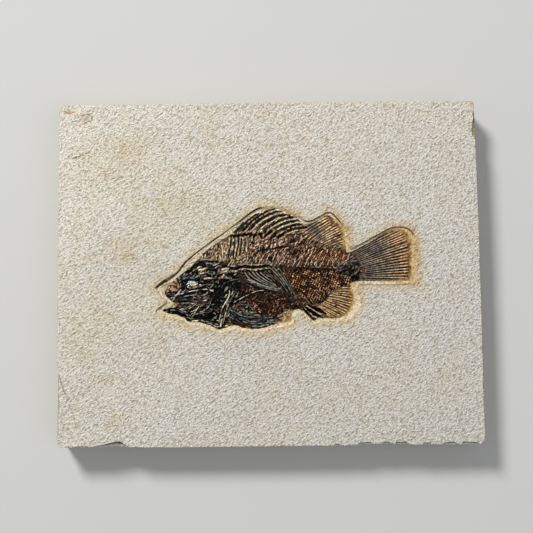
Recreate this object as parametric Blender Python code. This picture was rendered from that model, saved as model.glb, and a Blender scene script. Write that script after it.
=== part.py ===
"""Fossil fish slab.

A sawn limestone slab lies on its back with a spiny-finned fossil fish facing up. A shallow recess has
been worked down round the fish, and the fish sits in a socket in the floor of that recess. Its bones stand
up from it as ridges. X runs along the slab towards the tail, Y towards the dorsal fin, Z out of the prepared
face, and the origin is the centre of the back, on the surface that the slab rests on.

Places on the slab are given in millimetres from its centre, and MM turns them into metres.
"""
import math

import bmesh
import bpy
from mathutils import Matrix, Vector

MM = 0.001

# Slab
SLAB_LENGTH = 0.2318
SLAB_WIDTH = 0.1892
SLAB_THICKNESS = 0.018
ARRIS = 0.0004
BACK_LEDGE_DEPTH = 0.0011

LEFT, RIGHT = -SLAB_LENGTH / 2 / MM, SLAB_LENGTH / 2 / MM
LOW, HIGH = -SLAB_WIDTH / 2 / MM, SLAB_WIDTH / 2 / MM

# Prepared recess and the fish's socket
RECESS_DEPTH = 0.0010
SOCKET_DEPTH = 0.0016
FIT_GAP = 0.0003
CUT_CLEARANCE = 0.004

# Fish
SKIN_RISE = 0.0002
STRAND_SINK = 0.25
BLOCK_MARGIN = 6.0
FLOOR_Z = SLAB_THICKNESS - RECESS_DEPTH
SKIN_Z = FLOOR_Z + SKIN_RISE

# Finishes
LIMESTONE = ((0.60, 0.54, 0.43), 0.9)
FOSSIL_BONE = ((0.09, 0.05, 0.03), 0.6)
WELD_DISTANCE = 1e-7

# The slab's edge, anticlockwise from the lower left corner; a corner's third number is its radius
SLAB_EDGE = [
    (LEFT + 0.6, LOW + 0.5, 2.4), (-100, LOW + 0.6, 0), (-78, LOW + 0.5, 0), (-69, LOW, 0), (44, LOW, 0),
    (51, LOW + 0.6, 0), (65, LOW + 0.8, 0), (80, LOW, 0), (RIGHT - 0.1, LOW, 2.4), (RIGHT, 20, 0),
    (RIGHT - 0.4, 68, 0), (RIGHT - 0.8, 90, 0), (RIGHT - 2.7, HIGH - 0.3, 0), (77, HIGH, 0), (-16, HIGH, 0),
    (-78, HIGH - 0.3, 0), (LEFT + 0.1, HIGH - 0.1, 4.0), (LEFT + 0.3, 50, 0), (LEFT, -5, 0),
    (LEFT + 0.3, -48, 0), (LEFT + 0.9, -57, 0),
]

# The fish's outline, clockwise from the snout, in the stretches that an anatomist would name
SNOUT_TO_NAPE = [(-57.5, -10.5), (-54.5, -5.5), (-48, -0.5), (-41.5, 5), (-35.5, 11.5), (-28, 17), (-20, 22)]
SPINY_DORSAL_EDGE = [
    (-14, 28.5), (-9, 32), (-5, 34), (-1, 35), (5, 35.5), (7, 33.5), (9, 34), (11, 31.8), (13.5, 32),
    (14.8, 30), (16.5, 30.5), (17.5, 28.2), (19.5, 27.5),
]
SOFT_DORSAL_EDGE = [(23, 27), (26, 28), (29.5, 30), (32, 31.5), (35, 30.5), (37.5, 28), (40, 24), (41.5, 19),
                    (41.5, 14), (42, 10.5)]
TAIL_EDGE = [(45, 11), (49, 12.5), (57, 16.5), (65, 21.5), (68.5, 23), (72, 23), (75.5, 22), (77.5, 20),
             (78, 16), (77.5, 6), (76.5, -5), (73, -5.7), (47.5, -5.7)]
ANAL_FIN_EDGE = [(44.5, -7), (46, -10), (46.7, -16), (45.3, -21), (42, -24.5), (37, -26), (30, -26),
                 (27, -25.5), (24.5, -27.5), (21, -24.5), (18.5, -22), (15.5, -20.7), (13, -21.5)]
BELLY_EDGE = [(12.5, -25), (11, -27.7), (4, -28.8), (-5, -31.3), (-14, -31), (-17.5, -29.5), (-21, -29.6),
              (-25, -31), (-28, -31.4), (-31, -30), (-35, -28.5), (-39.5, -27.2), (-44.5, -27), (-46.5, -25)]
JAWS_EDGE = [(-50.5, -23.2), (-55, -22.5), (-58.5, -20.5), (-56.5, -19), (-54, -18), (-52.3, -16.7),
             (-54, -15), (-56.5, -13)]
FISH_EDGE = (SNOUT_TO_NAPE + SPINY_DORSAL_EDGE + SOFT_DORSAL_EDGE + TAIL_EDGE + ANAL_FIN_EDGE + BELLY_EDGE
             + JAWS_EDGE)

# The recess follows the fish a millimetre or more outside it, and crosses the gaps between its fins
RECESS_BACK = [(-62, -7.5), (-57, -3.5), (-50.5, 0.5), (-45.5, 6.5), (-34, 15.5), (-26, 21), (-18.5, 26.5),
               (-10.5, 32.5), (-6.5, 35), (-2.5, 36), (5.5, 36.3), (9.5, 34.8), (17, 31), (20, 28.3),
               (23.5, 28.2), (29.5, 31.2), (32.5, 32.8), (36, 31.5), (41.5, 25), (44, 21.5), (45, 17.5),
               (44.5, 14.5)]
RECESS_TAIL = [(46, 13), (53.5, 16.5), (65, 22.7), (69, 24), (73, 24.2), (76.5, 23.5), (79.5, 21), (81, 16.5),
               (81.5, 11), (81, -1.5), (80.5, -6), (77.5, -7.5), (49, -7.7)]
RECESS_BELLY = [(48.5, -10.5), (50, -14.5), (50.5, -17.5), (49, -21), (46.5, -24), (43.5, -26.5), (39, -27.5),
                (29, -27.5), (25, -29), (22, -27), (17.5, -22.8), (15, -23), (13.7, -26), (12.3, -28.8),
                (8.5, -30), (-0.5, -31.5), (-4.5, -32.7), (-14.5, -32.5), (-19, -31.3), (-22.5, -32),
                (-28, -33), (-32, -31.5), (-40.5, -28.7), (-45, -28.5), (-47.5, -26.2), (-56, -24)]
RECESS_MOUTH = [(-62, -21), (-56.5, -16), (-57.5, -14.5), (-61.5, -10)]
RECESS_EDGE = RECESS_BACK + RECESS_TAIL + RECESS_BELLY + RECESS_MOUTH

# Low swellings of the specimen: centre and half sizes along and across (millimetres), turn (degrees) and
# rise (metres)
SWELLINGS = {
    "flank": ((6, -2), (44, 21), -4, 0.0005),
    "skull": ((-36, -10), (20, 15), 22, 0.0007),
    "tail_root": ((44, 2), (14, 7), 0, 0.0004),
}

# Single bones: each is a line of points from root to tip, in millimetres
DORSAL_SPINES = [
    [(-20, 21.5), (-17.3, 24.8), (-14.3, 28)],
    [(-18, 21), (-12, 28), (-8.7, 30.5), (-5, 32.5)],
    [(-15, 22), (-8.7, 28.8), (-4.8, 31.3), (-0.4, 33.5), (4.5, 35)],
    [(-11, 22.5), (-5.4, 28.5), (-1.8, 30.7), (2.6, 32.6), (8.5, 33.7)],
    [(-7, 22.5), (-1.3, 27.7), (2.6, 29.7), (7, 31), (13, 31.8)],
    [(-3.3, 22.3), (2.8, 27.1), (7, 29), (11.4, 29.9), (16.2, 30.3)],
    [(0.6, 22.2), (3.6, 24.1), (7, 25.9), (10.8, 27.2), (19, 27.4)],
    [(4.7, 22), (8, 23.5), (11.9, 25), (18.5, 26.2)],
    [(9, 21.8), (13, 23), (16.8, 24), (21, 24.7)],
]
ANAL_SPINES = [
    [(17, -17), (19, -20), (21.5, -23.3), (24.4, -26.9)],
    [(18.3, -17.5), (21, -20.7), (24.5, -23.5), (29.5, -25.6)],
    [(21, -17.3), (24, -19.4), (27, -21.3), (32, -23.4)],
]
SKULL_BONES = [
    [(-51, -4.5), (-47, -0.5), (-42.5, 3.7), (-38.3, 6.4)],
    [(-47.6, -4.5), (-44.3, -3.8), (-41, -3.8), (-37.8, -4.6), (-36.4, -6.9), (-37.2, -9.6)],
    [(-48.2, -11.7), (-43.2, -10.6), (-38.9, -9.8), (-32.3, -9.4)],
    [(-56.8, -9.8), (-56, -12.4), (-53.8, -14.7), (-48.7, -14.1), (-43.3, -13.6), (-39.4, -12.9)],
    [(-53.6, -14.4), (-50.9, -11.9), (-48.2, -8.4)],
    [(-57.2, -20.6), (-54.2, -20.4), (-49.8, -21.2), (-46.6, -22.6), (-43.3, -24.8)],
    [(-45.5, -20.2), (-42.2, -18.3), (-40, -16.7)],
    [(-38.8, -2), (-36.1, -1), (-33.4, -1.7), (-30.6, -1.4)],
]
GILL_COVER_BONES = [
    [(-42, -24.3), (-38.4, -22.4), (-34.8, -21.1), (-32.4, -17.9), (-31.2, -13.5), (-30.4, -4.7)],
    [(-30.4, -4.7), (-25.7, -3.7), (-20.2, -4), (-15.9, -7.1), (-16.7, -12), (-19.2, -16.4), (-22, -19.6)],
    [(-20.8, -9.2), (-21.9, -13.3), (-26.1, -20.1), (-27.4, -29.5)],
    [(-40.5, -25), (-37.8, -24.6), (-33.5, -26), (-30.5, -28)],
    [(-38.4, -22.7), (-34, -23.6), (-29.7, -26.1), (-27.6, -29)],
]
PELVIC_BONES = [
    [(-19.2, -16.1), (-12.4, -13), (-5.5, -10.5), (-2.2, -10.2)],
    [(-20.9, -17.4), (-14.3, -17.5), (-11.1, -19.2), (-7.3, -22.5)],
    [(-20.9, -21), (-17.1, -24.3), (-10.6, -26), (3.6, -25.3)],
    [(-19.8, -20.2), (-15.5, -22.7), (-9.5, -24.3), (5.8, -24)],
    [(-20.4, -22.6), (-16.6, -26.2), (-10.6, -27.9), (3.6, -27.2)],
]
BACKBONE = [(-25.5, 4.8), (-15.8, 4.8), (-4.8, 4.8), (6.1, 4.3), (17.1, 3), (28, 2.2), (46, 1.8)]
FRONT_HAEMAL_SPINE = [(6.1, 1.5), (8.8, -2.4), (13.1, -10.7), (17.4, -17.8), (19.2, -20.9)]

# Rows of like bones: the line of their roots, the line of their tips, how many, and how far they bow, in
# millimetres
ROWS = {
    "rib": ([(-13.9, 0.6), (-4.3, 1)], [(7.6, -9.5), (4.4, -5.1)], 6, 1.6),
    "dorsal_spine_bearer": ([(-20, 21), (15, 21)], [(-22, 8), (-9, 11), (11, 14)], 10, 0.0),
    "upper_vertebral_spine": ([(-14, 6), (6, 5.5), (40, 3)], [(-9, 13), (11, 12), (46, 8)], 12, 0.4),
    "lower_vertebral_spine": ([(12, 2.5), (40, 0.5)], [(22, -11), (45, -4)], 9, -0.6),
    "soft_dorsal_ray": ([(16.8, 22.6), (22.3, 18.7), (34.3, 13.3)],
                        [(30, 29.5), (35.5, 28), (40.8, 14.5)], 9, 0.5),
    "tail_ray": ([(45.7, 8.5), (46.5, 4.9), (47, -3.5)],
                 [(68, 21.3), (77, 16), (77, 2.4), (75.5, -4.6)], 15, 0.6),
    "anal_ray": ([(26.5, -18.6), (36, -9.5)], [(38, -25), (45, -19.8), (44.5, -9.8)], 8, -0.6),
}
# Radii at the root and at the tip, in millimetres
THICKNESSES = {
    "dorsal_spine": (0.55, 0.22), "anal_spine": (0.6, 0.25), "skull_bone": (0.65, 0.45),
    "gill_cover_bone": (0.6, 0.35), "pelvic_bone": (0.5, 0.2), "backbone": (0.9, 0.6),
    "front_haemal_spine": (0.7, 0.4), "rib": (0.45, 0.2), "dorsal_spine_bearer": (0.4, 0.25),
    "upper_vertebral_spine": (0.35, 0.2), "lower_vertebral_spine": (0.35, 0.2),
    "soft_dorsal_ray": (0.35, 0.18), "tail_ray": (0.4, 0.18), "anal_ray": (0.35, 0.18),
}

# Breaks in the face at the slab's edges: outline in millimetres, depth below the face in metres
FACE_BREAKS = {
    "lower_left_chip": ([(-95, -96), (-94.5, -93.4), (-88, -91.8), (-83.5, -91.2), (-78.5, -93), (-78, -96)],
                        0.0040),
    "lower_edge_flake_left": ([(35, -96), (36, -93.6), (48, -93), (57, -93.6), (70, -93.1), (73, -96)],
                              0.0016),
    "lower_edge_flake_right": ([(76, -96), (79, -93.5), (93, -94), (105, -93.5), (113, -94), (118, -96)],
                               0.0016),
    "left_edge_flake": ([(-117, -53), (-115, -55), (-113.7, -59.5), (-109, -73), (-106.3, -81), (-105, -91),
                         (-105, -96), (-117, -96)], 0.0005),
    "upper_right_spall": ([(109.5, 96), (110.8, 93), (112.8, 91.2), (113.8, 88), (114.2, 80), (114.6, 74),
                           (117, 73), (117, 96)], 0.0022),
}
# Thin layers missing from the back, along its edges
BACK_LEDGES = {
    "back_ledge_top": [(-60, 97), (-52, 88), (-20, 82), (14, 86), (40, 81), (71, 90), (78, 97)],
    "back_ledge_left": [(-119, -10), (-108, -16), (-104, -38), (-109, -60), (-119, -66)],
    "back_ledge_right": [(119, -98), (119, -52), (108, -60), (100, -76), (84, -86), (72, -98)],
}
# Small knocks in the face near the upper left corner: centre and radius in millimetres
FACE_DENTS = [(-110.2, 90.2, 1.8), (-105, 85.3, 1.5), (-98.3, 87.2, 2.2)]
DENT_DEPTH = 0.0006


def clear_scene():
    """Remove every object that the scene starts with."""
    for item in list(bpy.data.objects):
        bpy.data.objects.remove(item, do_unlink=True)


def make_collection(name):
    """Return a new collection linked to the scene."""
    collection = bpy.data.collections.new(name)
    bpy.context.scene.collection.children.link(collection)
    return collection


def make_material(name, colour, roughness):
    """Return a matt stone material of one colour."""
    material = bpy.data.materials.new(name)
    material.use_nodes = True
    shader = material.node_tree.nodes["Principled BSDF"]
    shader.inputs["Base Color"].default_value = (*colour, 1.0)
    shader.inputs["Roughness"].default_value = roughness
    shader.inputs["Metallic"].default_value = 0.0
    material.diffuse_color = (*colour, 1.0)
    return material


def rounded_outline(corners, steps=4):
    """Replace each corner that has a radius with an arc of that radius, tangent to both its sides."""
    points = []
    count = len(corners)
    for index, (x, y, radius) in enumerate(corners):
        here = Vector((x, y))
        if radius == 0:
            points.append((x, y))
            continue
        to_last = (Vector(corners[index - 1][:2]) - here).normalized()
        to_next = (Vector(corners[(index + 1) % count][:2]) - here).normalized()
        half_angle = to_last.angle(to_next) / 2
        centre = here + (to_last + to_next).normalized() * radius / math.sin(half_angle)
        start = (here + to_last * radius / math.tan(half_angle) - centre).normalized()
        end = (here + to_next * radius / math.tan(half_angle) - centre).normalized()
        for step in range(steps + 1):
            points.append(tuple(centre + start.slerp(end, step / steps) * radius))
    return points


def grown_outline(points, margin):
    """Move each point of a closed outline outwards by margin millimetres, along its sides' mean normal."""
    grown = []
    count = len(points)
    area = sum(points[i - 1][0] * points[i][1] - points[i][0] * points[i - 1][1] for i in range(count))
    side = 1 if area > 0 else -1
    for index, point in enumerate(points):
        here = Vector(point)
        before = (here - Vector(points[index - 1])).normalized()
        after = (Vector(points[(index + 1) % count]) - here).normalized()
        normal = Vector((before.y + after.y, -before.x - after.x)).normalized() * side
        reach = margin / max(0.5, normal.dot(Vector((after.y, -after.x)) * side))
        grown.append(tuple(here + normal * reach))
    return grown


def outline_solid(name, points, low, high, collection, chamfer=0.0):
    """Extrude a flat outline, given in millimetres, between two heights in metres, with chamfered rims."""
    curve = bpy.data.curves.new(name, "CURVE")
    curve.dimensions = "2D"
    curve.fill_mode = "BOTH"
    curve.extrude = (high - low) / 2 - chamfer
    curve.bevel_depth = chamfer
    curve.bevel_resolution = 0
    curve.offset = -chamfer
    spline = curve.splines.new("POLY")
    spline.points.add(len(points) - 1)
    for spline_point, (x, y) in zip(spline.points, points):
        spline_point.co = (x * MM, y * MM, 0, 1)
    spline.use_cyclic_u = True
    return mesh_from_curve(name, curve, (0, 0, (low + high) / 2), collection)


def strand_solid(name, points, thick, thin, collection):
    """Carry a round section along points on the fish's skin, from thick at the root to thin at the tip.

    Points and radii are in millimetres.
    """
    curve = bpy.data.curves.new(name, "CURVE")
    curve.dimensions = "3D"
    curve.bevel_depth = MM
    curve.bevel_resolution = 0
    curve.use_fill_caps = True
    spline = curve.splines.new("POLY")
    spline.points.add(len(points) - 1)
    for index, (spline_point, (x, y)) in enumerate(zip(spline.points, points)):
        radius = thick + (thin - thick) * index / (len(points) - 1)
        spline_point.co = (x * MM, y * MM, skin_height(x, y) - radius * MM * STRAND_SINK, 1)
        spline_point.radius = radius
    return mesh_from_curve(name, curve, (0, 0, 0), collection)


def mesh_from_curve(name, curve, location, collection):
    """Turn a curve into a welded mesh object whose scale is one and whose place is in its mesh."""
    source = bpy.data.objects.new(name + "_curve", curve)
    source.location = location
    collection.objects.link(source)
    bpy.context.view_layer.update()
    graph = bpy.context.evaluated_depsgraph_get()
    mesh = bpy.data.meshes.new_from_object(source.evaluated_get(graph))
    mesh.transform(source.matrix_world)
    bpy.data.objects.remove(source, do_unlink=True)
    shell = bmesh.new()
    shell.from_mesh(mesh)
    bmesh.ops.remove_doubles(shell, verts=shell.verts, dist=WELD_DISTANCE)
    bmesh.ops.recalc_face_normals(shell, faces=shell.faces)
    shell.to_mesh(mesh)
    shell.free()
    mesh.name = name
    solid = bpy.data.objects.new(name, mesh)
    collection.objects.link(solid)
    return solid


def skin_height(x, y):
    """Return the height of the specimen's skin at a place: the highest of its swellings there."""
    height = SKIN_Z
    for centre, halves, turn, rise in SWELLINGS.values():
        offset = Vector((x - centre[0], y - centre[1]))
        offset.rotate(Matrix.Rotation(math.radians(-turn), 2))
        reach = (offset.x / halves[0]) ** 2 + (offset.y / halves[1]) ** 2
        height = max(height, SKIN_Z + rise * math.sqrt(max(0.0, 1.0 - reach)))
    return height


def place_along(line, share):
    """Return the point at a share of a line's length."""
    corners = [Vector(corner) for corner in line]
    lengths = [(b - a).length for a, b in zip(corners, corners[1:])]
    distance = share * sum(lengths)
    for start, end, length in zip(corners, corners[1:], lengths):
        if distance <= length:
            return start.lerp(end, distance / length)
        distance -= length
    return corners[-1]


def row_of_bones(roots, tips, count, bow):
    """Join a line of roots to a line of tips with evenly spaced bones that bow sideways at their middle."""
    bones = []
    for index in range(count):
        share = index / (count - 1)
        root = place_along(roots, share)
        tip = place_along(tips, share)
        along = (tip - root).normalized()
        middle = root.lerp(tip, 0.5) + Vector((along.y, -along.x)) * bow
        bones.append([tuple(root), tuple(middle), tuple(tip)])
    return bones


def add_swelling(name, centre, halves, turn, rise, collection):
    """Add a flattened sphere whose upper half is a low swelling of the skin."""
    bpy.ops.mesh.primitive_uv_sphere_add(segments=24, ring_count=10, radius=1)
    ball = bpy.context.object
    ball.name = name
    shape = (Matrix.Translation((centre[0] * MM, centre[1] * MM, SKIN_Z))
             @ Matrix.Rotation(math.radians(turn), 4, "Z")
             @ Matrix.Diagonal((halves[0] * MM, halves[1] * MM, rise, 1.0)))
    ball.data.transform(shape)
    move_to(ball, collection)


def make_tools_of(collection):
    """Mark a collection's objects as construction aids."""
    for item in collection.objects:
        item.hide_render = True
        item.display_type = "WIRE"


def combine(target, collection, operation):
    """Give the target an exact Boolean with everything in a collection."""
    boolean = target.modifiers.new(collection.name, "BOOLEAN")
    boolean.operation = operation
    boolean.operand_type = "COLLECTION"
    boolean.collection = collection
    boolean.solver = "EXACT"
    make_tools_of(collection)


def build_slab(home):
    """Extrude the slab, break its arrises, cut the recess and socket, and chip its edges and back."""
    slab = outline_solid("limestone_slab", rounded_outline(SLAB_EDGE), 0.0, SLAB_THICKNESS, home, ARRIS)
    cutters = make_collection("slab_cutters")
    above = SLAB_THICKNESS + CUT_CLEARANCE
    outline_solid("recess", RECESS_EDGE, FLOOR_Z, above, cutters)
    for name, (outline, depth) in FACE_BREAKS.items():
        outline_solid(name, outline, SLAB_THICKNESS - depth, above, cutters)
    for name, outline in BACK_LEDGES.items():
        outline_solid(name, outline, -CUT_CLEARANCE, BACK_LEDGE_DEPTH, cutters)
    for index, (x, y, radius) in enumerate(FACE_DENTS):
        add_dent("face_dent_%d" % index, x, y, radius, cutters)
    combine(slab, cutters, "DIFFERENCE")
    sockets = make_collection("socket_cutter")
    outline_solid("socket", grown_outline(FISH_EDGE, FIT_GAP / MM), FLOOR_Z - SOCKET_DEPTH, above, sockets)
    combine(slab, sockets, "DIFFERENCE")
    slab.data.materials.append(make_material("limestone", *LIMESTONE))
    return slab


def add_dent(name, x, y, radius, collection):
    """Add a sphere that dips DENT_DEPTH into the face over a circle of the given radius (millimetres)."""
    opening = radius * MM
    sphere = (opening ** 2 + DENT_DEPTH ** 2) / (2 * DENT_DEPTH)
    bpy.ops.mesh.primitive_uv_sphere_add(segments=16, ring_count=16, radius=sphere)
    ball = bpy.context.object
    ball.name = name
    ball.data.transform(Matrix.Translation((x * MM, y * MM, SLAB_THICKNESS - DENT_DEPTH + sphere)))
    move_to(ball, collection)


def move_to(item, collection):
    """Link an object to one collection alone."""
    for owner in list(item.users_collection):
        owner.objects.unlink(item)
    collection.objects.link(item)


def build_fish(home):
    """Raise the fish's skin, swellings and bones from a block, then trim the block to the fish's outline."""
    low = FLOOR_Z - SOCKET_DEPTH + FIT_GAP
    left, right = min(x for x, y in FISH_EDGE) - BLOCK_MARGIN, max(x for x, y in FISH_EDGE) + BLOCK_MARGIN
    bottom, top = min(y for x, y in FISH_EDGE) - BLOCK_MARGIN, max(y for x, y in FISH_EDGE) + BLOCK_MARGIN
    block = [(left, bottom), (right, bottom), (right, top), (left, top)]
    fish = outline_solid("fossil_fish", block, low, SKIN_Z, home)
    bones = make_collection("fish_bones")
    for name, (centre, halves, turn, rise) in SWELLINGS.items():
        add_swelling(name, centre, halves, turn, rise, bones)
    groups = {
        "dorsal_spine": DORSAL_SPINES, "anal_spine": ANAL_SPINES, "skull_bone": SKULL_BONES,
        "gill_cover_bone": GILL_COVER_BONES, "pelvic_bone": PELVIC_BONES, "backbone": [BACKBONE],
        "front_haemal_spine": [FRONT_HAEMAL_SPINE],
    }
    groups.update({name: row_of_bones(*row) for name, row in ROWS.items()})
    for name, lines in groups.items():
        thick, thin = THICKNESSES[name]
        for index, line in enumerate(lines):
            strand_solid("%s_%d" % (name, index), line, thick, thin, bones)
    combine(fish, bones, "UNION")
    trims = make_collection("fish_trim")
    outline_solid("fish_outline", FISH_EDGE, low - CUT_CLEARANCE, SLAB_THICKNESS + CUT_CLEARANCE, trims)
    combine(fish, trims, "INTERSECT")
    fish.data.materials.append(make_material("fossil_bone", *FOSSIL_BONE))
    return fish


def main():
    """Build the slab and the fish in one collection."""
    clear_scene()
    home = make_collection("fossil_fish_slab")
    build_slab(home)
    build_fish(home)


main()
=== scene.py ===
"""Fossil fish slab: the finish of the limestone and of the fish, its light and its camera.

Both pieces are surfaces computed on grids with numpy. The slab is a stack of rings from the recess floor,
up the
recess wall, across the face, over the broken edges and down the sawn sides to the back. The fish is a fine
relief
whose height and colours come from named bones and zones. Places on the slab are millimetres from its
centre.
"""
import math

import bpy
import numpy as np
from mathutils import Matrix, Vector


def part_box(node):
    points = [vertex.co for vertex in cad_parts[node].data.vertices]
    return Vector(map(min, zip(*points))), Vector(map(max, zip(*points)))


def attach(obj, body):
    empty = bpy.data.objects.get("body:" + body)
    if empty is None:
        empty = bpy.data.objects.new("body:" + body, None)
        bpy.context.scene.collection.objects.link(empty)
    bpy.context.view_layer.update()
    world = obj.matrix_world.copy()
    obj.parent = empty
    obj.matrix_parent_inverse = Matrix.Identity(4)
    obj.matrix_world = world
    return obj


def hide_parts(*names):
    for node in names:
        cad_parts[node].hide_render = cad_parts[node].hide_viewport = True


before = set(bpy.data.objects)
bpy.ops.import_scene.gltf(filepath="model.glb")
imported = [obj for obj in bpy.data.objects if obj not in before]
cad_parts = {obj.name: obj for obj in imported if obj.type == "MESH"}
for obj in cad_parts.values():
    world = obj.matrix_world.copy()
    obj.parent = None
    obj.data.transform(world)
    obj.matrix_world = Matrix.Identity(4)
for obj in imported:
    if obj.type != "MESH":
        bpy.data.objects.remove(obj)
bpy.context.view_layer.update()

MM = 0.001
slab_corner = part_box("limestone_slab")[1]
FACE_Z = slab_corner[2]
RECESS_DEPTH = 0.0010
FLOOR_Z = FACE_Z - RECESS_DEPTH
HALF_WIDTH, HALF_LENGTH = slab_corner[0] / MM, slab_corner[1] / MM

# ---------------------------------------------------------------------------------------------- outlines (mm)

SLAB_EDGE = [
    (-115.2, -91.7), (-114.7, -93.0), (-113.8, -93.9), (-112.6, -94.1), (-100, -94.0), (-78, -94.1),
    (-69, -94.6), (44, -94.6), (51, -94.0), (65, -93.8),
    (80, -94.6), (113.4, -94.6), (114.8, -94.1), (115.6, -93.0), (115.8, -91.8), (115.9, 20), (115.5, 68),
    (115.2, 88),
    (115.0, 93), (114.2, 94.3), (77, 94.6),
    (-16, 94.6), (-78, 94.3), (-111.8, 94.5), (-113.8, 93.9), (-115.2, 92.5), (-115.8, 90.5), (-115.6, 50),
    (-115.9, -5), (-115.6, -48), (-115.0, -57),
]

SNOUT_TO_NAPE = [(-57.5, -10.5), (-54.5, -5.5), (-48, -0.5), (-41.5, 5), (-35.5, 11.5), (-28, 17), (-20, 22)]
SPINY_DORSAL_EDGE = [
    (-14, 28.5), (-9, 32), (-5, 34), (-1, 35), (5, 35.5), (6.6, 33.9), (9, 34), (10.6, 32.1), (13.3, 32),
    (14.6, 30.2), (16.6, 30.6), (17.2, 28.4), (19.5, 27.5),
]
SOFT_DORSAL_EDGE = [(23, 27), (26, 28), (29.5, 30), (32, 31.5), (35, 30.5), (38, 28.3), (41, 24.3),
                    (42.5, 19),
                    (42.7, 14.2), (43, 10.8)]
TAIL_EDGE = [(45, 11), (49, 12.8), (57, 17), (65, 22), (68.5, 23.4), (72, 23.6), (75.5, 22.8), (78.3, 20.6),
             (79.2, 16), (79, 6), (78.2, -5.2), (73, -5.8), (47.5, -5.8)]
ANAL_FIN_EDGE = [(44.5, -7), (46, -10), (46.7, -16), (45.3, -21), (42, -24.5), (37, -26), (30, -26),
                 (27, -25.5), (24.5, -27.5), (21, -24.5), (18.5, -22), (15.5, -20.7), (13, -21.5)]
BELLY_EDGE = [(12.5, -25), (11, -27.7), (4, -28.8), (-5, -31.3), (-14, -31), (-17.5, -29.5), (-21, -29.6),
              (-25, -31), (-28, -31.4), (-31, -30), (-35, -28.5), (-39.5, -27.2), (-44.5, -27), (-46.5, -25)]
JAWS_EDGE = [(-50.5, -23.2), (-55, -22.5), (-58.5, -20.5), (-56.5, -19), (-54, -18), (-52.3, -16.7),
             (-54, -15), (-56.5, -13)]

FISH_OUTLINE = (SNOUT_TO_NAPE, SPINY_DORSAL_EDGE, SOFT_DORSAL_EDGE, TAIL_EDGE, ANAL_FIN_EDGE, BELLY_EDGE,
                JAWS_EDGE)

RECESS_BACK = [(-62, -7.5), (-57, -3.5), (-50.5, 0.5), (-45.5, 6.5), (-34, 15.5), (-26, 21), (-18.5, 26.5),
               (-10.5, 32.5), (-6.5, 35), (-2.5, 36), (5.5, 36.3), (9.5, 34.8), (17, 31), (20, 28.3),
               (23.5, 28.2), (29.5, 31.2), (32.5, 32.8), (36, 31.5), (41.5, 25), (44, 21.5), (45, 17.5),
               (44.5, 14.5)]
RECESS_TAIL = [(46, 13), (48.4, 14.1), (53.5, 16.5), (65, 22.7), (69, 24), (73, 24.2), (76.5, 23.5),
               (79.5, 21), (81, 16.5),
               (81.5, 11), (81, -1.5), (80.5, -6), (77.5, -7.5), (73.5, -7.6),
               (52.5, -7.6), (49.4, -7.9)]
RECESS_BELLY = [(48.5, -10.5), (50, -14.5), (50.5, -17.5), (49, -21), (46.5, -24), (43.5, -26.5), (39, -27.5),
                (29, -27.5), (25, -29), (22, -27), (17.5, -22.8), (15, -23), (13.7, -26), (12.3, -28.8),
                (8.5, -30), (-0.5, -31.5), (-4.5, -32.7), (-14.5, -32.5), (-19, -31.3), (-22.5, -32),
                (-28, -33), (-32, -31.5), (-40.5, -28.7), (-45, -28.5), (-47.5, -26.2), (-56, -24)]
RECESS_MOUTH = [(-62, -21), (-56.5, -16), (-57.5, -14.5), (-61.5, -10)]
RECESS_EDGE = (RECESS_BACK + RECESS_TAIL + RECESS_BELLY + RECESS_MOUTH)[::-1]

# Places that face each other: on the recess, on the slab's edge, and on the fish's middle
FACING_PLACES = [
    ((-62, -21), (-115.6, -62), (-48, -14)), ((-31, -31.9), (-46, -94.6), (-28, -8)),
    ((13.7, -26), (14, -94.6), (10, 0)), ((29, -27.5), (34, -94.6), (25, -2)),
    ((50.5, -17.5), (80, -94.6), (38, -6)), ((49, -7.7), (102, -94.6), (46, 3)),
    ((80.5, -6), (114.8, -94.1), (66, 4)), ((81.5, 11), (115.9, 20), (68, 8)),
    ((76.5, 23.5), (115.1, 90), (66, 12)), ((46, 13), (78, 94.6), (42, 5)),
    ((32.5, 32.8), (40, 94.6), (30, 8)), ((5.5, 36.3), (6, 94.6), (4, 8)),
    ((-34, 15.5), (-68, 94.3), (-28, 0)), ((-50.5, 0.5), (-113.8, 93.9), (-42, -8)),
    ((-62, -7.5), (-115.9, 0), (-46, -11)), ((-56.5, -16), (-115.8, -28), (-47, -13)),
]
# Breaks along the slab's edges: middle place, half length, width across the face and depth
EDGE_BREAKS = [((115.2, 80.5), 7, 1.7, 1.3), ((115.2, 88.2), 2, 1.0, 1.2), ((112.5, 94.4), 5, 0.6, 0.5),
               ((-114.5, 93), 6, 0.8, 1.0)]
# The chip in the lower edge: place along the edge, width across the face, and depth
CHIP = [(-97.5, 0, 0), (-92, 1.2, 1.4), (-83.3, 3.5, 2.8), (-80.5, 1.8, 2.0), (-78, 0.4, 0.6), (-77, 0, 0)]
# Where the lower arris has flaked: start and end along the edge, width across the face and depth
LOWER_FLAKES = [(-111, -108.5, 0.7, 0.4), (-103.5, -99.5, 0.7, 0.4), (33.5, 38, 0.8, 0.7), (41, 44, 0.8, 0.7),
                (46.5, 55.5, 1.2, 1.0), (60.5, 65.5, 1.0, 0.9), (67, 74.5, 1.0, 0.9), (82, 87, 1.2, 1.0),
                (93, 101, 1.1, 0.9), (103.5, 113, 1.2, 1.0)]
# Thin layers missing from the back along its edges: middle place, half length, width across the back and
# depth
BACK_LEDGES = [((8, 94.6), 72, 11, 1.1), ((-115.8, -38), 30, 9, 1.1), ((115.8, -94.6), 48, 17, 1.1)]
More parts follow.
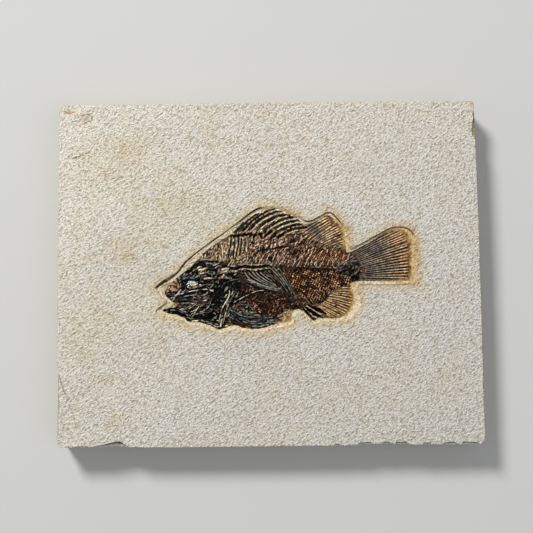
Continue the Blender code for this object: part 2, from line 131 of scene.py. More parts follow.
# Small knocks in the face: place, radius and depth
FACE_DENTS = [((-110.2, 90.2), 1.9, 0.5), ((-105, 85.3), 1.6, 0.6), ((-98.3, 87.2), 2.3, 0.5)]
FLAKE_DEPTH = 0.4
LEFT_FLAKE = [(-117, -53), (-115, -55), (-113.7, -59.5), (-109, -73), (-106.3, -81), (-105.4, -88),
              (-105, -97), (-117, -97)]
# Places where the recess wall is worn soft: place, inner and outer reach
SOFT_WALLS = [((84, 3), 14, 20), ((43.5, 19), 5, 10), ((8, 34), 8, 13), ((48.5, -9), 2.5, 6)]
# Widths of the recess wall: everywhere, where it is worn soft, above the fish, and before its snout and jaw
WALL_WIDTH, SOFT_WALL_WIDTH, UPPER_WALL_WIDTH, SNOUT_WALL_WIDTH, JAW_WALL_WIDTH = 0.45, 1.5, 0.2, 1.05, 0.55
# Height above the recess floor of the stone left between the wall and the fish
TERRACE_HEIGHT = 0.5
# The eye socket, a loop of places
EYE_SOCKET = [(-46, -5), (-43, -3.6), (-38, -4), (-36.5, -7), (-39, -9), (-44, -9.2)]
# Directions of the crushed bone in the head: zone, number of strokes, length, angle in degrees and its spread
HEAD_GRAIN = [
    ([(-50, -6), (-46, 0.5), (-38, 6), (-30, 6.5), (-33, 2), (-42, -3.5)], 26, 3.6, 40, 16),
    ([(-38, 6), (-22, 5.5), (-17, 1), (-18, -3.5), (-30, -4), (-40, -3)], 44, 2.6, 10, 34),
    ([(-49, -10), (-40, -8.5), (-32, -5), (-31, -14), (-46, -15)], 24, 4.0, 12, 16),
    ([(-52, -16.5), (-46, -15), (-31, -13), (-32, -22), (-43, -24)], 30, 4.0, 27, 16),
    ([(-58, -20.5), (-50, -19), (-42, -23), (-38, -26), (-46, -25)], 12, 3.4, -20, 8),
    ([(-24, -9), (-17, -4), (-14, -14), (-20, -20), (-26, -30), (-29, -28), (-24, -18)], 26, 3.6, 64, 12),
]

# Gentle swellings of the skin: middle, half lengths, turn in degrees and rise
SWELLINGS = [((6, -2), (44, 21), -4, 0.5), ((-36, -10), (20, 15), 22, 0.7), ((44, 2), (14, 7), 0, 0.4)]

# Zones of the skin, each a loop of places
ZONES = {
    "nape": [(-39.3, 6.4), (-34.4, 11.8), (-30, 14.5), (-24.5, 17.8), (-20.6, 20), (-11.8, 21),
        (-11.4, 5.5), (-23.5, 5.1), (-31.1, 5.7)],
    "skull": [(-57.5, -9.4), (-54.2, -6.7), (-50.3, -4), (-46.5, 0.9), (-40.4, 6.1), (-24, 5.7),
        (-18, 2.3), (-15.3, -6.5), (-15.9, -13.1), (-20.3, -18.5), (-24.8, -31.6), (-29.7, -29.9),
        (-43.3, -25.9), (-58, -20.9), (-53.1, -16.5), (-56.9, -12.7)],
    "snout": [(-58.6, -11), (-56.9, -7.2), (-53.1, -3.9), (-49.2, -2.3), (-48.7, -7.3), (-50.9, -9.4),
        (-55.3, -9.4)],
    "gill_cover": [(-32.8, -4.7), (-30.6, -3.6), (-26.8, -4.2), (-21.9, -4.8), (-17.5, -7.1),
        (-15.9, -10.9), (-17, -14.2), (-21.4, -17.4), (-25.8, -20.7), (-30.2, -22.8), (-32.4, -19.5),
        (-31.2, -15.1), (-32.3, -10.7)],
    "cheek": [(-44.4, -14.7), (-35.1, -12.4), (-32.9, -14.6), (-34.5, -18.9), (-41.6, -20.5),
        (-45.5, -18.8)],
    "mouth_lining": [(-57.5, -17.6), (-55.3, -15.7), (-52, -15.7), (-49.3, -16.3), (-50.9, -18.2),
        (-55.3, -19.8)],
    "throat": [(-43.3, -23.7), (-30.2, -22.2), (-24.7, -23.9), (-27.5, -31.5), (-34, -29.3),
        (-42.2, -25.9)],
    "upper_flank": [(-12.4, 19.9), (-3.6, 18.7), (11.8, 19.6), (23.9, 17.3), (33.7, 13.3), (42.4, 10.4),
        (44.5, 4.9), (17.1, 3.6), (-12.5, 5.5)],
    "muscle_cast": [(-11.3, 18.8), (-3.6, 17.9), (1.9, 18.6), (9.1, 18.3), (14, 17.4), (9.6, 14.1),
        (0.8, 12.6), (-6.9, 11.8), (-11.3, 14.3)],
    "rear_flank": [(8.8, 0.9), (45.5, -0.1), (47.7, -3.9), (44.3, -7.2), (36, -10.9), (28.8, -16.9),
        (20.1, -16.8), (14.7, -11.3), (9.3, -4.6)],
    "tail_stem": [(20.5, 11.8), (33.7, 12.7), (42.4, 10.4), (46.8, 7.1), (42.3, 3.8), (20.4, 4.1)],
    "rib_cage": [(-14.7, 2.2), (5, 2), (12.6, -9), (6, -11.2), (-7.7, -9.4), (-14.2, -4.9)],
    "belly": [(-14.2, -6.6), (-7.1, -9.9), (6, -11.7), (12.5, -11.2), (17.9, -17.9), (15.7, -20.6),
        (11.3, -22.2), (3.1, -24.2), (-6.2, -23.6), (-10.5, -19.2), (-14.3, -15.3), (-15.9, -11.5)],
    "pelvic_fin": [(-20.9, -20.2), (-12.7, -23.5), (3.1, -24.8), (5.8, -27.5), (-4.1, -30.7),
        (-10.6, -30.1), (-17.1, -28.4), (-21.5, -26.2)],
    "pelvic_fin_tip": [(4.7, -25.4), (8, -22.1), (12.4, -21.1), (12.9, -25.4), (11.2, -28.1),
        (5.8, -28.6)],
    "soft_dorsal": [(16.8, 23.4), (22.9, 26.7), (29.6, 30.5), (32.9, 32.2), (38.4, 28.2), (41.5, 21.5),
        (42.5, 11), (33.7, 13.3), (27.2, 16.1), (20.6, 19.5)],
    "anal_fin": [(18.4, -18.4), (26.6, -17.4), (33.3, -12), (40.5, -7.1), (45.4, -6.6), (48, -13.8),
        (47.4, -18.7), (44, -24.7), (36.3, -27.3), (29.8, -26.7), (24.3, -27.7), (18.9, -22.8)],
    "tail_fin": [(45.7, 9.9), (72.4, 23.9), (79.4, 18.9), (78.8, -6.5), (45.4, -6.1)],
    "spiny_dorsal": [(-20.6, 20.3), (-13.9, 28.2), (-5.6, 34.2), (4.9, 36.4), (13.1, 32.9), (19.6, 28.4),
        (22.4, 25), (16.8, 22.3), (8.6, 21.3), (-5.8, 20.4)],
}

# Bones, each a line of places from root to tip
DORSAL_SPINES = [
    [(-19.2, 21.3), (-17.3, 23.8), (-15.3, 25.8), (-13.7, 27.9)],
    [(-18.1, 20.8), (-15.6, 24.1), (-12.8, 27.2), (-10.1, 29.5), (-7.6, 31.3), (-4.8, 32.5)],
    [(-14.8, 22.2), (-12, 25.5), (-9, 28.4), (-5.6, 30.9), (-2.3, 32.7), (1.3, 34.4), (4.9, 35.3)],
    [(-11.2, 22.8), (-9, 25.4), (-6.8, 27.6), (-4, 29.6), (-0.7, 31.3), (3.2, 32.9), (8.7, 33.9)],
    [(-7.1, 22.9), (-4.9, 25.3), (-2.4, 27.2), (0.7, 28.9), (3.7, 30.4), (7, 31.3), (12.8, 31.8)],
    [(-3, 22.6), (-0.5, 24.6), (2, 26.3), (4.8, 27.7), (8.1, 29.1), (11.7, 30), (16.4, 30.6)],
    [(0.9, 22.5), (3.6, 24.1), (6.4, 25.7), (9.4, 27), (12.5, 27.8), (15.8, 28.4), (19.1, 27.7)],
    [(4.7, 22.1), (8, 23.7), (11.3, 24.9), (14.1, 25.7), (16.6, 26.1), (19.1, 26.4)],
    [(9.1, 21.9), (12.4, 23.3), (15.7, 24), (18.5, 24.4), (21.2, 24.8)],
]
ANAL_SPINES = [
    [(17.6, -18.7), (20.6, -22.5), (24.3, -27)],
    [(19, -19.1), (24.1, -22.6), (29.3, -25.9)],
    [(20.5, -18.1), (26.1, -20.9), (31.6, -23.4)],
]
ANAL_SPINE_GAPS = [
    [(19.2, -20.1), (23.1, -23.5), (27.1, -26.1)],
    [(20, -18.7), (24.1, -21.4), (28.6, -24.1)],
]
SOFT_DORSAL_RAYS = ([(17.7, 23.3), (19.1, 20.2), (21.1, 16.6), (25.2, 16.3), (29.2, 15.8), (32.3, 14.5),
                     (36.3, 12.1)],
                    [(31.5, 31.3), (34, 29), (36.5, 26.4), (38.8, 23.9), (40.5, 21.3), (41.3, 18.5),
                     (41.2, 14.1)])
TAIL_RAYS = ([(45.9, 9.5), (48.9, 6.6), (50.1, 3.5), (50.5, 0), (48.9, -4.8)],
             [(71.6, 22.6), (77.6, 19.6), (77.4, 10.9), (77.2, 3.3), (76.2, -5.9)])
ANAL_RAYS = ([(24.6, -20.4), (27.4, -19), (28.8, -17.7), (30.9, -16.3), (33, -14.2), (33.8, -12.1),
              (36.5, -9)],
             [(34.2, -25.4), (38.4, -25.1), (42.6, -23.4), (44.8, -20.6), (45.9, -17.8), (46.3, -15.1),
              (46.3, -11.2),
              (45, -7.5)])
DORSAL_KNOTS = [(-20.3, 20.3), (-18.4, 20), (-16.5, 20.2), (-14, 20.6), (-11.4, 20.9), (-9.6, 20.4),
                (-7.9, 20.3),
                (-4.8, 20.8), (-1.8, 22.1), (1.3, 22.1), (3.3, 19.8), (5.3, 19.6), (8.4, 21.3)]
RIBS = [
    [(-13.4, 0), (-12, -2.1), (-10.1, -4), (-7.1, -5.5), (-3.6, -7.1), (0.5, -8.5), (7.1, -9.3)],
    [(-11.2, 0), (-9.5, -2.1), (-6.8, -4.1), (-3.8, -5.7), (-0.6, -7.2), (3.8, -8.5)],
    [(-9.2, 0.1), (-7.3, -2), (-4.9, -4.1), (-1.9, -5.8), (1.1, -7.2), (4.4, -8)],
    [(-7.2, 0), (-5.2, -2.1), (-2.4, -4.2), (0.6, -5.9), (3.8, -7.3)],
    [(-4.9, -0.1), (-3, -1.9), (-0.5, -3.8), (1.9, -5.2)],
]
REAR_RIBS = [
    [(-0.4, 2.9), (1.7, 1.2), (4.4, -1.5), (6.9, -4.6), (9, -7.9)],
    [(2.6, 2.3), (5, -0.4), (7.4, -3.8), (9.6, -7.1)],
    [(3.1, -2.2), (5.2, -4.6), (7.6, -7.3)],
    [(5, 2), (7.2, -0.5), (9.1, -3.5)],
]
LONG_SPINE = [
    [(5.7, 2), (9.7, -4.9), (13.1, -10.8), (15.6, -15.4), (18.2, -19.5)],
    [(3.7, -1.9), (6.6, -5.9), (8.6, -8.7), (11.3, -12.8)],
]
PELVIC_BONES = [
    [(-19, -16.5), (-15.9, -14.9), (-12.9, -13.3), (-9.9, -12), (-6.9, -10.7), (-2.5, -10.2)],
    [(-18.2, -18.8), (-15.7, -18), (-13, -18), (-10.8, -19.2), (-8.9, -20.9), (-6.7, -22.8)],
]
PELVIC_RAYS = [
    [(-17.7, -24.3), (-14.4, -25.8), (-10.6, -25.7), (-4.6, -25.9), (1.4, -25.6)],
    [(-19.5, -21.3), (-16.6, -23.4), (-12.7, -24.6), (-8.4, -25), (-2.9, -24.9), (3.6, -25.1),
     (8.5, -23.2)],
    [(-20.4, -22.1), (-17.7, -24.6), (-14.4, -27.1), (-10.6, -28.2), (-5.1, -28.3), (0.3, -27.7)],
    [(-20.1, -24), (-17.1, -27), (-13.9, -29.2), (-10.6, -30.6)],
]
SHEEN_STREAK = [
    [(-12.3, -5.1), (-9.3, -6.3), (-6, -7.7), (-2.8, -8.9), (1.1, -9.8), (5.4, -10.8)],
]
PREMAXILLA = [
    [(-57, -10.2), (-56.5, -12.2), (-55, -14.3), (-52.6, -15.3), (-48.2, -15.1), (-43.3, -15.4),
     (-39.4, -14.8)],
]
PREDORSAL_BONES = [
    [(-20.4, 20.3), (-20.7, 16.1), (-21.5, 12), (-22.7, 6.7)],
    [(-18.4, 19.7), (-18.7, 15.5), (-19.2, 11.7), (-19.6, 7.3)],
    [(-16.4, 19.7), (-16.6, 15.5), (-17.4, 11.9), (-18.3, 7.5)],
    [(-14.8, 19.9), (-14.9, 16), (-15.4, 12.2), (-16.3, 8.9)],
    [(-12.9, 18.8), (-13, 14.4), (-14.1, 10)],
]
SPINE_BEARERS = [
    [(-18.9, 20.2), (-19.8, 19.5)],
    [(-15.6, 20.9), (-16.6, 19.9)],
    [(-12.3, 21.2), (-14, 20.2)],
    [(-8.8, 21.8), (-10.5, 21.1)],
    [(-6, 22.3), (-7.4, 20.4), (-8.5, 18.5)],
    [(-3.3, 21.7), (-4.1, 20.4), (-3.6, 18.4)],
    [(1.4, 22.5), (-0.8, 20.9), (-2.7, 19)],
    [(4.7, 22.2), (2.5, 20.3), (1.1, 18.1)],
    [(8.6, 21.3), (6.3, 19.8), (4.7, 18)],
]
MIDLINE_SCAR = [
    [(-6.4, 11.6), (-2, 12.3), (2.4, 12.9), (6.8, 13.6), (9.6, 14.3), (12.3, 16.3), (15.4, 18.1)],
]
VERTEBRAE_UNDERSIDE = [
    [(-21.3, 2.2), (-18, 2), (-15.5, 2.8), (-13, 3.3), (-10.3, 2.6), (-7, 2.8), (-3.7, 3.1), (-1, 3.4),
     (1.2, 2.8)],
    [(1.2, 2.8), (7.2, 2.7), (12.7, 1.7), (19.8, 1.4), (28, 1.1), (35.7, 0.8), (42.8, 0.5)],
]
TAIL_HUB = [
    [(37.9, -0.2), (41.7, -1.3), (45.5, -2.3), (48.8, -2.8)],
]
VERTEBRAE_TOP = [
    [(-25.6, 5), (-20.2, 5.2), (-14.1, 5.4), (-7, 5), (-0.4, 5.2), (6.1, 4.2), (12.7, 3.3), (20.4, 2.9),
     (29.1, 2.4), (37.9, 2.2), (43.9, 2.5)],
]
HYPURALS = [
    [(39, 3.3), (42.4, 5.8), (46.2, 8.2)],
    [(41.8, 3.8), (44.5, 5.7), (48.4, 7.6)],
    [(43.4, 4.6), (46.7, 5.4), (50, 5.9)],
]
# Smaller pieces of the head and belly: patches, and lines of single bones
HEAD = {
    "brow_patch": [(-46.5, 0.9), (-43.7, 2.6), (-41.5, 5.3), (-39.3, 6.1), (-37.2, 5.8), (-38.3, 4.2),
        (-41, 3.1), (-42.1, 0.3), (-44.9, 0.1)],
    "brow_lines": [[(-50.3, -4.8), (-47.6, -2.3), (-44.9, -1), (-43.2, -0.5)], [(-49.8, -6.2),
        (-48.2, -4.3), (-45.4, -2.9), (-43.2, -1.8)], [(-45.4, 0.7), (-43.2, 2.3), (-41, 4.7),
        (-38.3, 5.8)]],
    "eye_black": [[(-47.6, -4.5), (-43.2, -4), (-38.3, -4.4)], [(-43.2, -9.4), (-40, -8.9), (-38.3, -7.9)]],
    "eye_white": [(-44, -4.9), (-40.2, -4.6), (-39.1, -6.3), (-42.1, -7.3), (-45.1, -6.5), (-44.3, -5.7)],
    "eye_gold": [(-43.2, -7.6), (-38.9, -7.1), (-38.6, -8.2), (-43.2, -9)],
    "eye_blue": [(-43.2, -2.4), (-41, -2.4), (-41, -3.5), (-43.2, -3.5)],
    "snout_specks": [[(-53.6, -6.7), (-52, -7.3), (-50.3, -7.8)]],
    "snout_grey": [[(-56.4, -9.9), (-54.2, -11.3), (-52, -11.1)], [(-55.3, -11.6), (-53.1, -12.7)],
        [(-56.6, -11), (-54.7, -13)]],
    "snout_white": [[(-52.6, -14.1), (-50.4, -11.9), (-48.2, -9.2)], [(-52, -12.7), (-48.7, -11.4)],
        [(-53.1, -15.7), (-50.9, -12.7)]],
    "under_eye_cream": [[(-48.4, -11.7), (-46, -10.9), (-43.2, -10.3), (-40, -9.8), (-35.6, -9.3),
        (-33.4, -9.4)]],
    "cheek_grey": [[(-46.5, -13.1), (-43.3, -12.5), (-40, -12.3)], [(-47.1, -20.4), (-43.8, -19.6),
        (-41.1, -18), (-39.4, -16.7)], [(-47.6, -17.1), (-44.4, -16.6), (-40.5, -17.2)]],
    "cheek_orange": [[(-43.3, -15.5), (-39.4, -15.9), (-36.2, -16.4)]],
    "mouth_cream": [[(-56.9, -17.3), (-55.3, -16.6), (-53.1, -15.9)]],
    "mouth_gold": [[(-53.1, -16.3), (-50.9, -16.6), (-49.3, -17.1)]],
    "jaw_black": [(-58.6, -20.2), (-56.4, -19.8), (-54.2, -19), (-50.9, -19.8), (-47.7, -21),
        (-44.4, -22.6), (-43.3, -24), (-44.9, -24.3), (-47.7, -23.2), (-51.5, -22.5), (-55.8, -21.9)],
    "jaw_grey": [[(-56.4, -20.3), (-53.1, -20.4), (-49.8, -20.9), (-46.6, -22.3)], [(-56.9, -21.1),
        (-53.1, -21.7)], [(-45.5, -22.6), (-44.4, -23.7)]],
    "isthmus_cream": [[(-42.2, -26.5), (-40.6, -26.4), (-38.9, -26.2)]],
    "isthmus_orange": [[(-42.8, -27.8), (-40, -27.3)]],
    "preopercle_white": [[(-43.3, -23.5), (-41.7, -22.4), (-39.5, -21.9), (-36.2, -21.4), (-34, -20),
        (-32.4, -17.9), (-31.8, -16.2)], [(-42.2, -24.3), (-40.6, -23), (-37.3, -22.4), (-34.6, -21.9)]],
    "preopercle_black": [(-41.7, -24.6), (-40, -23.5), (-36.2, -23.3), (-33.5, -22.2), (-31.3, -21.1),
        (-30.2, -24.4), (-33.5, -26.6), (-37.8, -25.4), (-40.6, -25.4)],
    "preopercle_grey": [[(-37.8, -26), (-34, -27.1), (-31.3, -27.1)], [(-35.1, -25.7), (-30.8, -26.1)]],
    "preopercle_rear": [[(-30.4, -4.7), (-30.7, -8), (-30.4, -11.3), (-31.2, -14), (-32.1, -16.2)]],
    "cleithrum_cream": [[(-21.6, -10.3), (-21.9, -13), (-23, -15.2), (-24.4, -17.4), (-25.8, -19.8)]],
    "cleithrum_grey": [[(-25.8, -19.8), (-26.7, -23.4), (-27.5, -27.2)], [(-22, -16.3), (-23.6, -21.8),
        (-25.6, -28.8)]],
    "rust_spots": [[(-26.6, -20.4), (-26.1, -21.1)], [(-28.3, -21.7), (-27.7, -21.9)]],
    "nape_cream": [[(-25.9, 15.1), (-25.3, 11.2), (-25.6, 7.3)]],
    "nape_dusky": [(-33.8, 12.9), (-29.4, 12.9), (-29.5, 8.5), (-33.9, 8.5)],
    "nape_dark": [(-36, 11.3), (-33.8, 11.3), (-33.8, 9.1), (-36, 9.1)],
    "nape_black": [[(-35.5, 6.2), (-33.3, 6.3), (-31.1, 6.1)], [(-36.6, 3.9), (-35.5, 3.6), (-34.4, 2.7)],
        [(-22.9, -1), (-20.2, -0.7), (-19.7, -2.1)]],
    "nape_grey": [[(-37.7, 6.9), (-34.4, 7.1), (-30.6, 6.8)], [(-34.4, 5.2), (-31.1, 4.6)], [(-30.6, 3.8),
        (-26.7, 5.1)], [(-24.1, -3.1), (-20.2, -3.3)]],
    "nape_gold": [[(-27.8, 7.9), (-26.7, 9.5)], [(-30.6, 7.7), (-27.8, 8.7)], [(-37.2, 1.1), (-33.9, 1.6)],
        [(-25.7, 0.7), (-23.5, 1.5)], [(-27.3, -3.4), (-25.1, -2.3)]],
    "nape_pale": [[(-33.3, 0.2), (-29.5, 0)], [(-35.6, -3.5), (-32.3, -3.2), (-29, -3.4)]],
    "belly_red": [(-16, -27.9), (-11.7, -27.9), (-11.7, -30.6), (-16.1, -30.6)],
    "belly_orange": [[(-12.8, -30.3), (-8.4, -30.9)]],
}

# ---------------------------------------------------------------------------------------------- colours


def shade(red, green, blue):
    """Turn a display colour, 0 to 255 a channel, into the linear numbers that shaders use."""
    display = np.array([red, green, blue]) / 255.0
    return np.where(display <= 0.04045, display / 12.92, ((display + 0.055) / 1.055) ** 2.4)


CREAM_STONE = shade(220, 216, 206)
GREY_STONE = shade(203, 202, 197)
HONEY_STONE = shade(206, 184, 142)
BED_STONE = shade(222, 208, 176)
SAWN_STONE = shade(190, 178, 152)
FRESH_BREAK = shade(190, 174, 146)

BLACK_BONE = shade(5, 5, 6)
UMBER = shade(74, 50, 33)

# Stains in the face: place, radius, strength and colour
FACE_STAINS = [
    ((-84.6, -80.6), 7, 0.16, HONEY_STONE * np.array([0.94, 0.84, 0.7])),
    ((-113, -80), 12, 0.3, shade(206, 194, 170)),
    ((-77, 68), 13, 0.35, HONEY_STONE), ((-82, 12), 12, 0.38, HONEY_STONE),
    ((-76, 8), 6, 0.3, HONEY_STONE * 0.9),
    ((-110.2, 90.4), 2.6, 0.8, HONEY_STONE * np.array([0.85, 0.8, 0.6])),
    ((-101.5, 86.8), 3.6, 0.5, shade(192, 168, 124)), ((-110, 90.2), 2.4, 0.4, shade(196, 176, 134)),
    ((-90, 60), 26, 0.2, HONEY_STONE), ((60, 60), 30, 0.12, GREY_STONE * 0.94),
]
# Golden stains round the fins' margins: place, inner and outer reach, and strength
FIN_STAINS = [((80, 8), 14, 24, 0.8), ((42, 24), 6, 13, 0.55), ((48, -18), 6, 13, 0.45),
              ((12, -27), 3, 8, 0.4)]
# Scratches in the face, and a painted highlight along the recess rim: a line of places, then the half width
# and the colour of each step along it
SCRATCHES = [
    ([(-107.7, 64.2), (-104, 65.3), (-98.4, 67.7)],
     [(0.50, shade(120, 100, 84)),
      (0.55, shade(150, 128, 104))]),
    ([(-11.7, 65.6), (-9.7, 70.7)],
     [(0.30, shade(110, 104, 96))]),
    ([(-106.8, 85.5), (-104.2, 85)],
     [(0.45, shade(70, 60, 54))]),
    ([(-103.7, 88.4), (-99.1, 88.9), (-97.2, 86.4)],
     [(0.50, shade(160, 132, 96)),
      (0.60, shade(136, 98, 68))]),
    ([(-97.2, 86.2), (-100.2, 84.6), (-101.9, 83.4)],
     [(0.50, shade(150, 118, 84)),
      (0.40, shade(90, 76, 66))]),
    ([(-113, 91.1), (-110.2, 89.4), (-107.1, 90.4)],
     [(0.45, shade(160, 138, 100)),
      (0.45, shade(150, 124, 90))]),
    ([(-85.6, -81.9), (-85.7, -78), (-83.4, -76.4), (-81.3, -79.5)],
     [(0.40, shade(192, 166, 124)),
      (0.45, shade(184, 154, 110)),
      (0.60, shade(188, 160, 118))]),
    ([(-89.8, -82.3), (-88, -85.8)],
     [(0.55, shade(194, 170, 128))]),
    ([(-114.9, -53.6), (-112.3, -62.4), (-108.7, -71.2), (-106.2, -77.3), (-104.2, -88.7)],
     [(0.42, shade(146, 132, 112)),
      (0.45, shade(132, 120, 102)),
      (0.34, shade(150, 138, 118)),
      (0.24, shade(164, 150, 130))]),
    # Painted highlight, not a scratch: a bright line along the lit lower rim of the recess round the anal fin
    ([(49.9, -13.5), (49.5, -18.6), (47.2, -22.8), (44, -26.1), (40, -27.2)],
     [(0.24, shade(244, 232, 202)),
      (0.24, shade(244, 232, 202)),
      (0.22, shade(244, 232, 202)),
      (0.22, shade(244, 232, 202))]),
]

# ---------------------------------------------------------------------------------------------- grid tools


def lattice_noise(x, y, period, seed):
    """Random heights from -1 to 1 on a square lattice of the given period, joined by smooth cubic steps."""
    size = 256
    heights = np.random.default_rng(seed).random((size, size)) * 2 - 1
    u, v = x / period, y / period
    column, row = np.floor(u).astype(int), np.floor(v).astype(int)
    fu, fv = u - column, v - row
    fu, fv = fu * fu * (3 - 2 * fu), fv * fv * (3 - 2 * fv)
    near, far = column % size, (column + 1) % size
    low, high = row % size, (row + 1) % size
    return ((heights[low, near] * (1 - fu) + heights[low, far] * fu) * (1 - fv)
            + (heights[high, near] * (1 - fu) + heights[high, far] * fu) * fv)


def layered_noise(x, y, period, seed, layers=3):
    """Add lattice noises, each with half the period and half the height of the one before."""
    total = sum(lattice_noise(x, y, period / 2 ** k, seed + k) / 2 ** k for k in range(layers))
    return total / sum(0.5 ** k for k in range(layers))


def streaks(x, y, angle, length, width, seed):
    """Lattice noise stretched along a direction in degrees, so that it reads as strands of a length and a
    width."""
    turn = math.radians(angle)
    along = x * math.cos(turn) + y * math.sin(turn)
    across = y * math.cos(turn) - x * math.sin(turn)
    sway = lattice_noise(x, y, length * 1.5, seed + 50) * width * 1.2
    return lattice_noise(along * width / length, across + sway, width, seed)


def ease(value, start, end):
    """Rise smoothly from 0 at start to 1 at end."""
    share = np.clip((value - start) / (end - start), 0, 1)
    return share * share * (3 - 2 * share)


def cubic_spans(before, starts, ends, after, steps):
    """Catmull-Rom spans from starts to ends: each is a cubic whose end slopes are half the step between the
    points on either side of that end."""
    share = (np.arange(steps) / steps)[:, None]
    return np.vstack([0.5 * (2 * b + (c - a) * share + (2 * a - 5 * b + 4 * c - d) * share ** 2
                             + (3 * b - a - 3 * c + d) * share ** 3)
                      for a, b, c, d in zip(before, starts, ends, after)])


def spot(x, y, place, inner, outer):
    """1 within the inner reach of a place, falling smoothly to 0 at the outer reach."""
    return 1 - ease(np.hypot(x - place[0], y - place[1]), inner, outer)


def smooth_line(points, steps):
    """Pass a Catmull-Rom curve through points, from the first to the last."""
    p = np.array([points[0], *points, points[-1]], float)
    return np.vstack([cubic_spans(p, p[1:], p[2:], p[3:], steps), p[-1:]])


def smooth_loop(points, steps):
    """Pass a closed Catmull-Rom curve through points."""
    p = np.array(points, float)
    return cubic_spans(np.roll(p, 1, 0), p, np.roll(p, -1, 0), np.roll(p, -2, 0), steps)


def loop_lengths(loop):
    """Length along a closed loop at each of its points, with the whole length at the end."""
    steps = np.linalg.norm(np.roll(loop, -1, 0) - loop, axis=1)
    return np.concatenate([[0.0], np.cumsum(steps)])


def distance_inside(x, y, loop):
    """Distance from each place to a closed loop: positive inside, negative outside (even-odd crossings)."""
    nearest = np.full(x.shape, 1e9)
    inside = np.zeros(x.shape, bool)
    for (ax, ay), (bx, by) in zip(loop, np.roll(loop, -1, 0)):
        dx, dy = bx - ax, by - ay
        share = np.clip(((x - ax) * dx + (y - ay) * dy) / (dx * dx + dy * dy + 1e-12), 0, 1)
        nearest = np.minimum(nearest, (x - ax - share * dx) ** 2 + (y - ay - share * dy) ** 2)
        if ay != by:
            inside ^= ((ay > y) != (by > y)) & (x < dx * (y - ay) / dy + ax)
    return np.where(inside, 1.0, -1.0) * np.sqrt(nearest)


def near_line(x, y, line, reach):
    """For the places within reach of a line: their numbers, distances, shares along it and how far they
    face the light."""
    line = np.asarray(line, float)
    low, high = line.min(0) - reach, line.max(0) + reach
    here = np.nonzero((x > low[0]) & (x < high[0]) & (y > low[1]) & (y < high[1]))[0]
    px, py = x[here], y[here]
    lengths = np.linalg.norm(np.diff(line, axis=0), axis=1)
    nearest = np.full(len(here), 1e9)
    along, lean = np.zeros(len(here)), np.zeros(len(here))
    run = 0.0
    for (ax, ay), (bx, by), length in zip(line, line[1:], lengths):
        dx, dy = bx - ax, by - ay
        share = np.clip(((px - ax) * dx + (py - ay) * dy) / (length * length), 0, 1)
        off_x, off_y = px - ax - share * dx, py - ay - share * dy
        gap = np.hypot(off_x, off_y)
        closer = gap < nearest
        nearest = np.where(closer, gap, nearest)
        along = np.where(closer, (run + share * length) / lengths.sum(), along)
        lean = np.where(closer, (off_y * 0.8 - off_x * 0.6) / (gap + 1e-6), lean)
        run += length
    keep = nearest < reach
    return here[keep], nearest[keep], along[keep], lean[keep]


def make_piece(name, vertices, quads, caps, colours, values=None):
    """Make a smooth closed mesh from vertices in metres, four-sided faces, many-sided caps and point
    colours."""
    mesh = bpy.data.meshes.new(name)
    loops = np.concatenate([quads.ravel(), *caps]).astype(np.int32)
    sizes = np.array([4] * len(quads) + [len(cap) for cap in caps], np.int32)
    mesh.vertices.add(len(vertices))
    mesh.vertices.foreach_set("co", vertices.astype(np.float32).ravel())
    mesh.loops.add(len(loops))
    mesh.loops.foreach_set("vertex_index", loops)
    mesh.polygons.add(len(sizes))
    mesh.polygons.foreach_set("loop_start", np.concatenate([[0], np.cumsum(sizes)[:-1]]).astype(np.int32))
    mesh.polygons.foreach_set("loop_total", sizes)
    mesh.polygons.foreach_set("use_smooth", np.ones(len(sizes), bool))
    tint = mesh.attributes.new("tint", "FLOAT_COLOR", "POINT")
    tint.data.foreach_set("color",
                          np.hstack([colours, np.ones((len(colours), 1))]).astype(np.float32).ravel())
    for key, value in (values or {}).items():
        layer = mesh.attributes.new(key, "FLOAT", "POINT")
        layer.data.foreach_set("value", value.astype(np.float32))
    mesh.update(calc_edges=True)
    mesh.validate()
    piece = bpy.data.objects.new(name, mesh)
    bpy.context.scene.collection.objects.link(piece)
    return piece


# ---------------------------------------------------------------------------------------------- the slab

# Points round each ring, and rings across the face, down the sides and across the back
RING_POINTS = 900
FACE_ROWS = 58
SIDE_ROWS = 9
BACK_ROWS = 14
# Rings on the recess floor: how far each is past the wall's foot, and its share of the terrace's height
BED_RINGS = ((1.9, 0.0), (1.3, 0.25), (0.8, 0.85), (0.2, 1.0))
# Rings up the recess wall: share of the wall's width from its top, and share of its height
WALL_RINGS = ((1.0, 0.03), (0.78, 0.16), (0.55, 0.46), (0.32, 0.76), (0.12, 0.95))
# Rings over the broken arris: share of the break's width, width added to it, drop, and share of the
# break's depth
ARRIS_RINGS = ((1.0, 0.10, 0.04, 0.0), (0.97, 0.02, 0.08, 0.30), (0.90, 0.02, 0.10, 0.58),
               (0.42, 0.08, 0.12, 0.72),
               (0.0, 0.06, 0.20, 0.95))
# Rings across the step of a thin layer missing from the back
LEDGE_SHARES = (0.35, 0.7, 0.96)


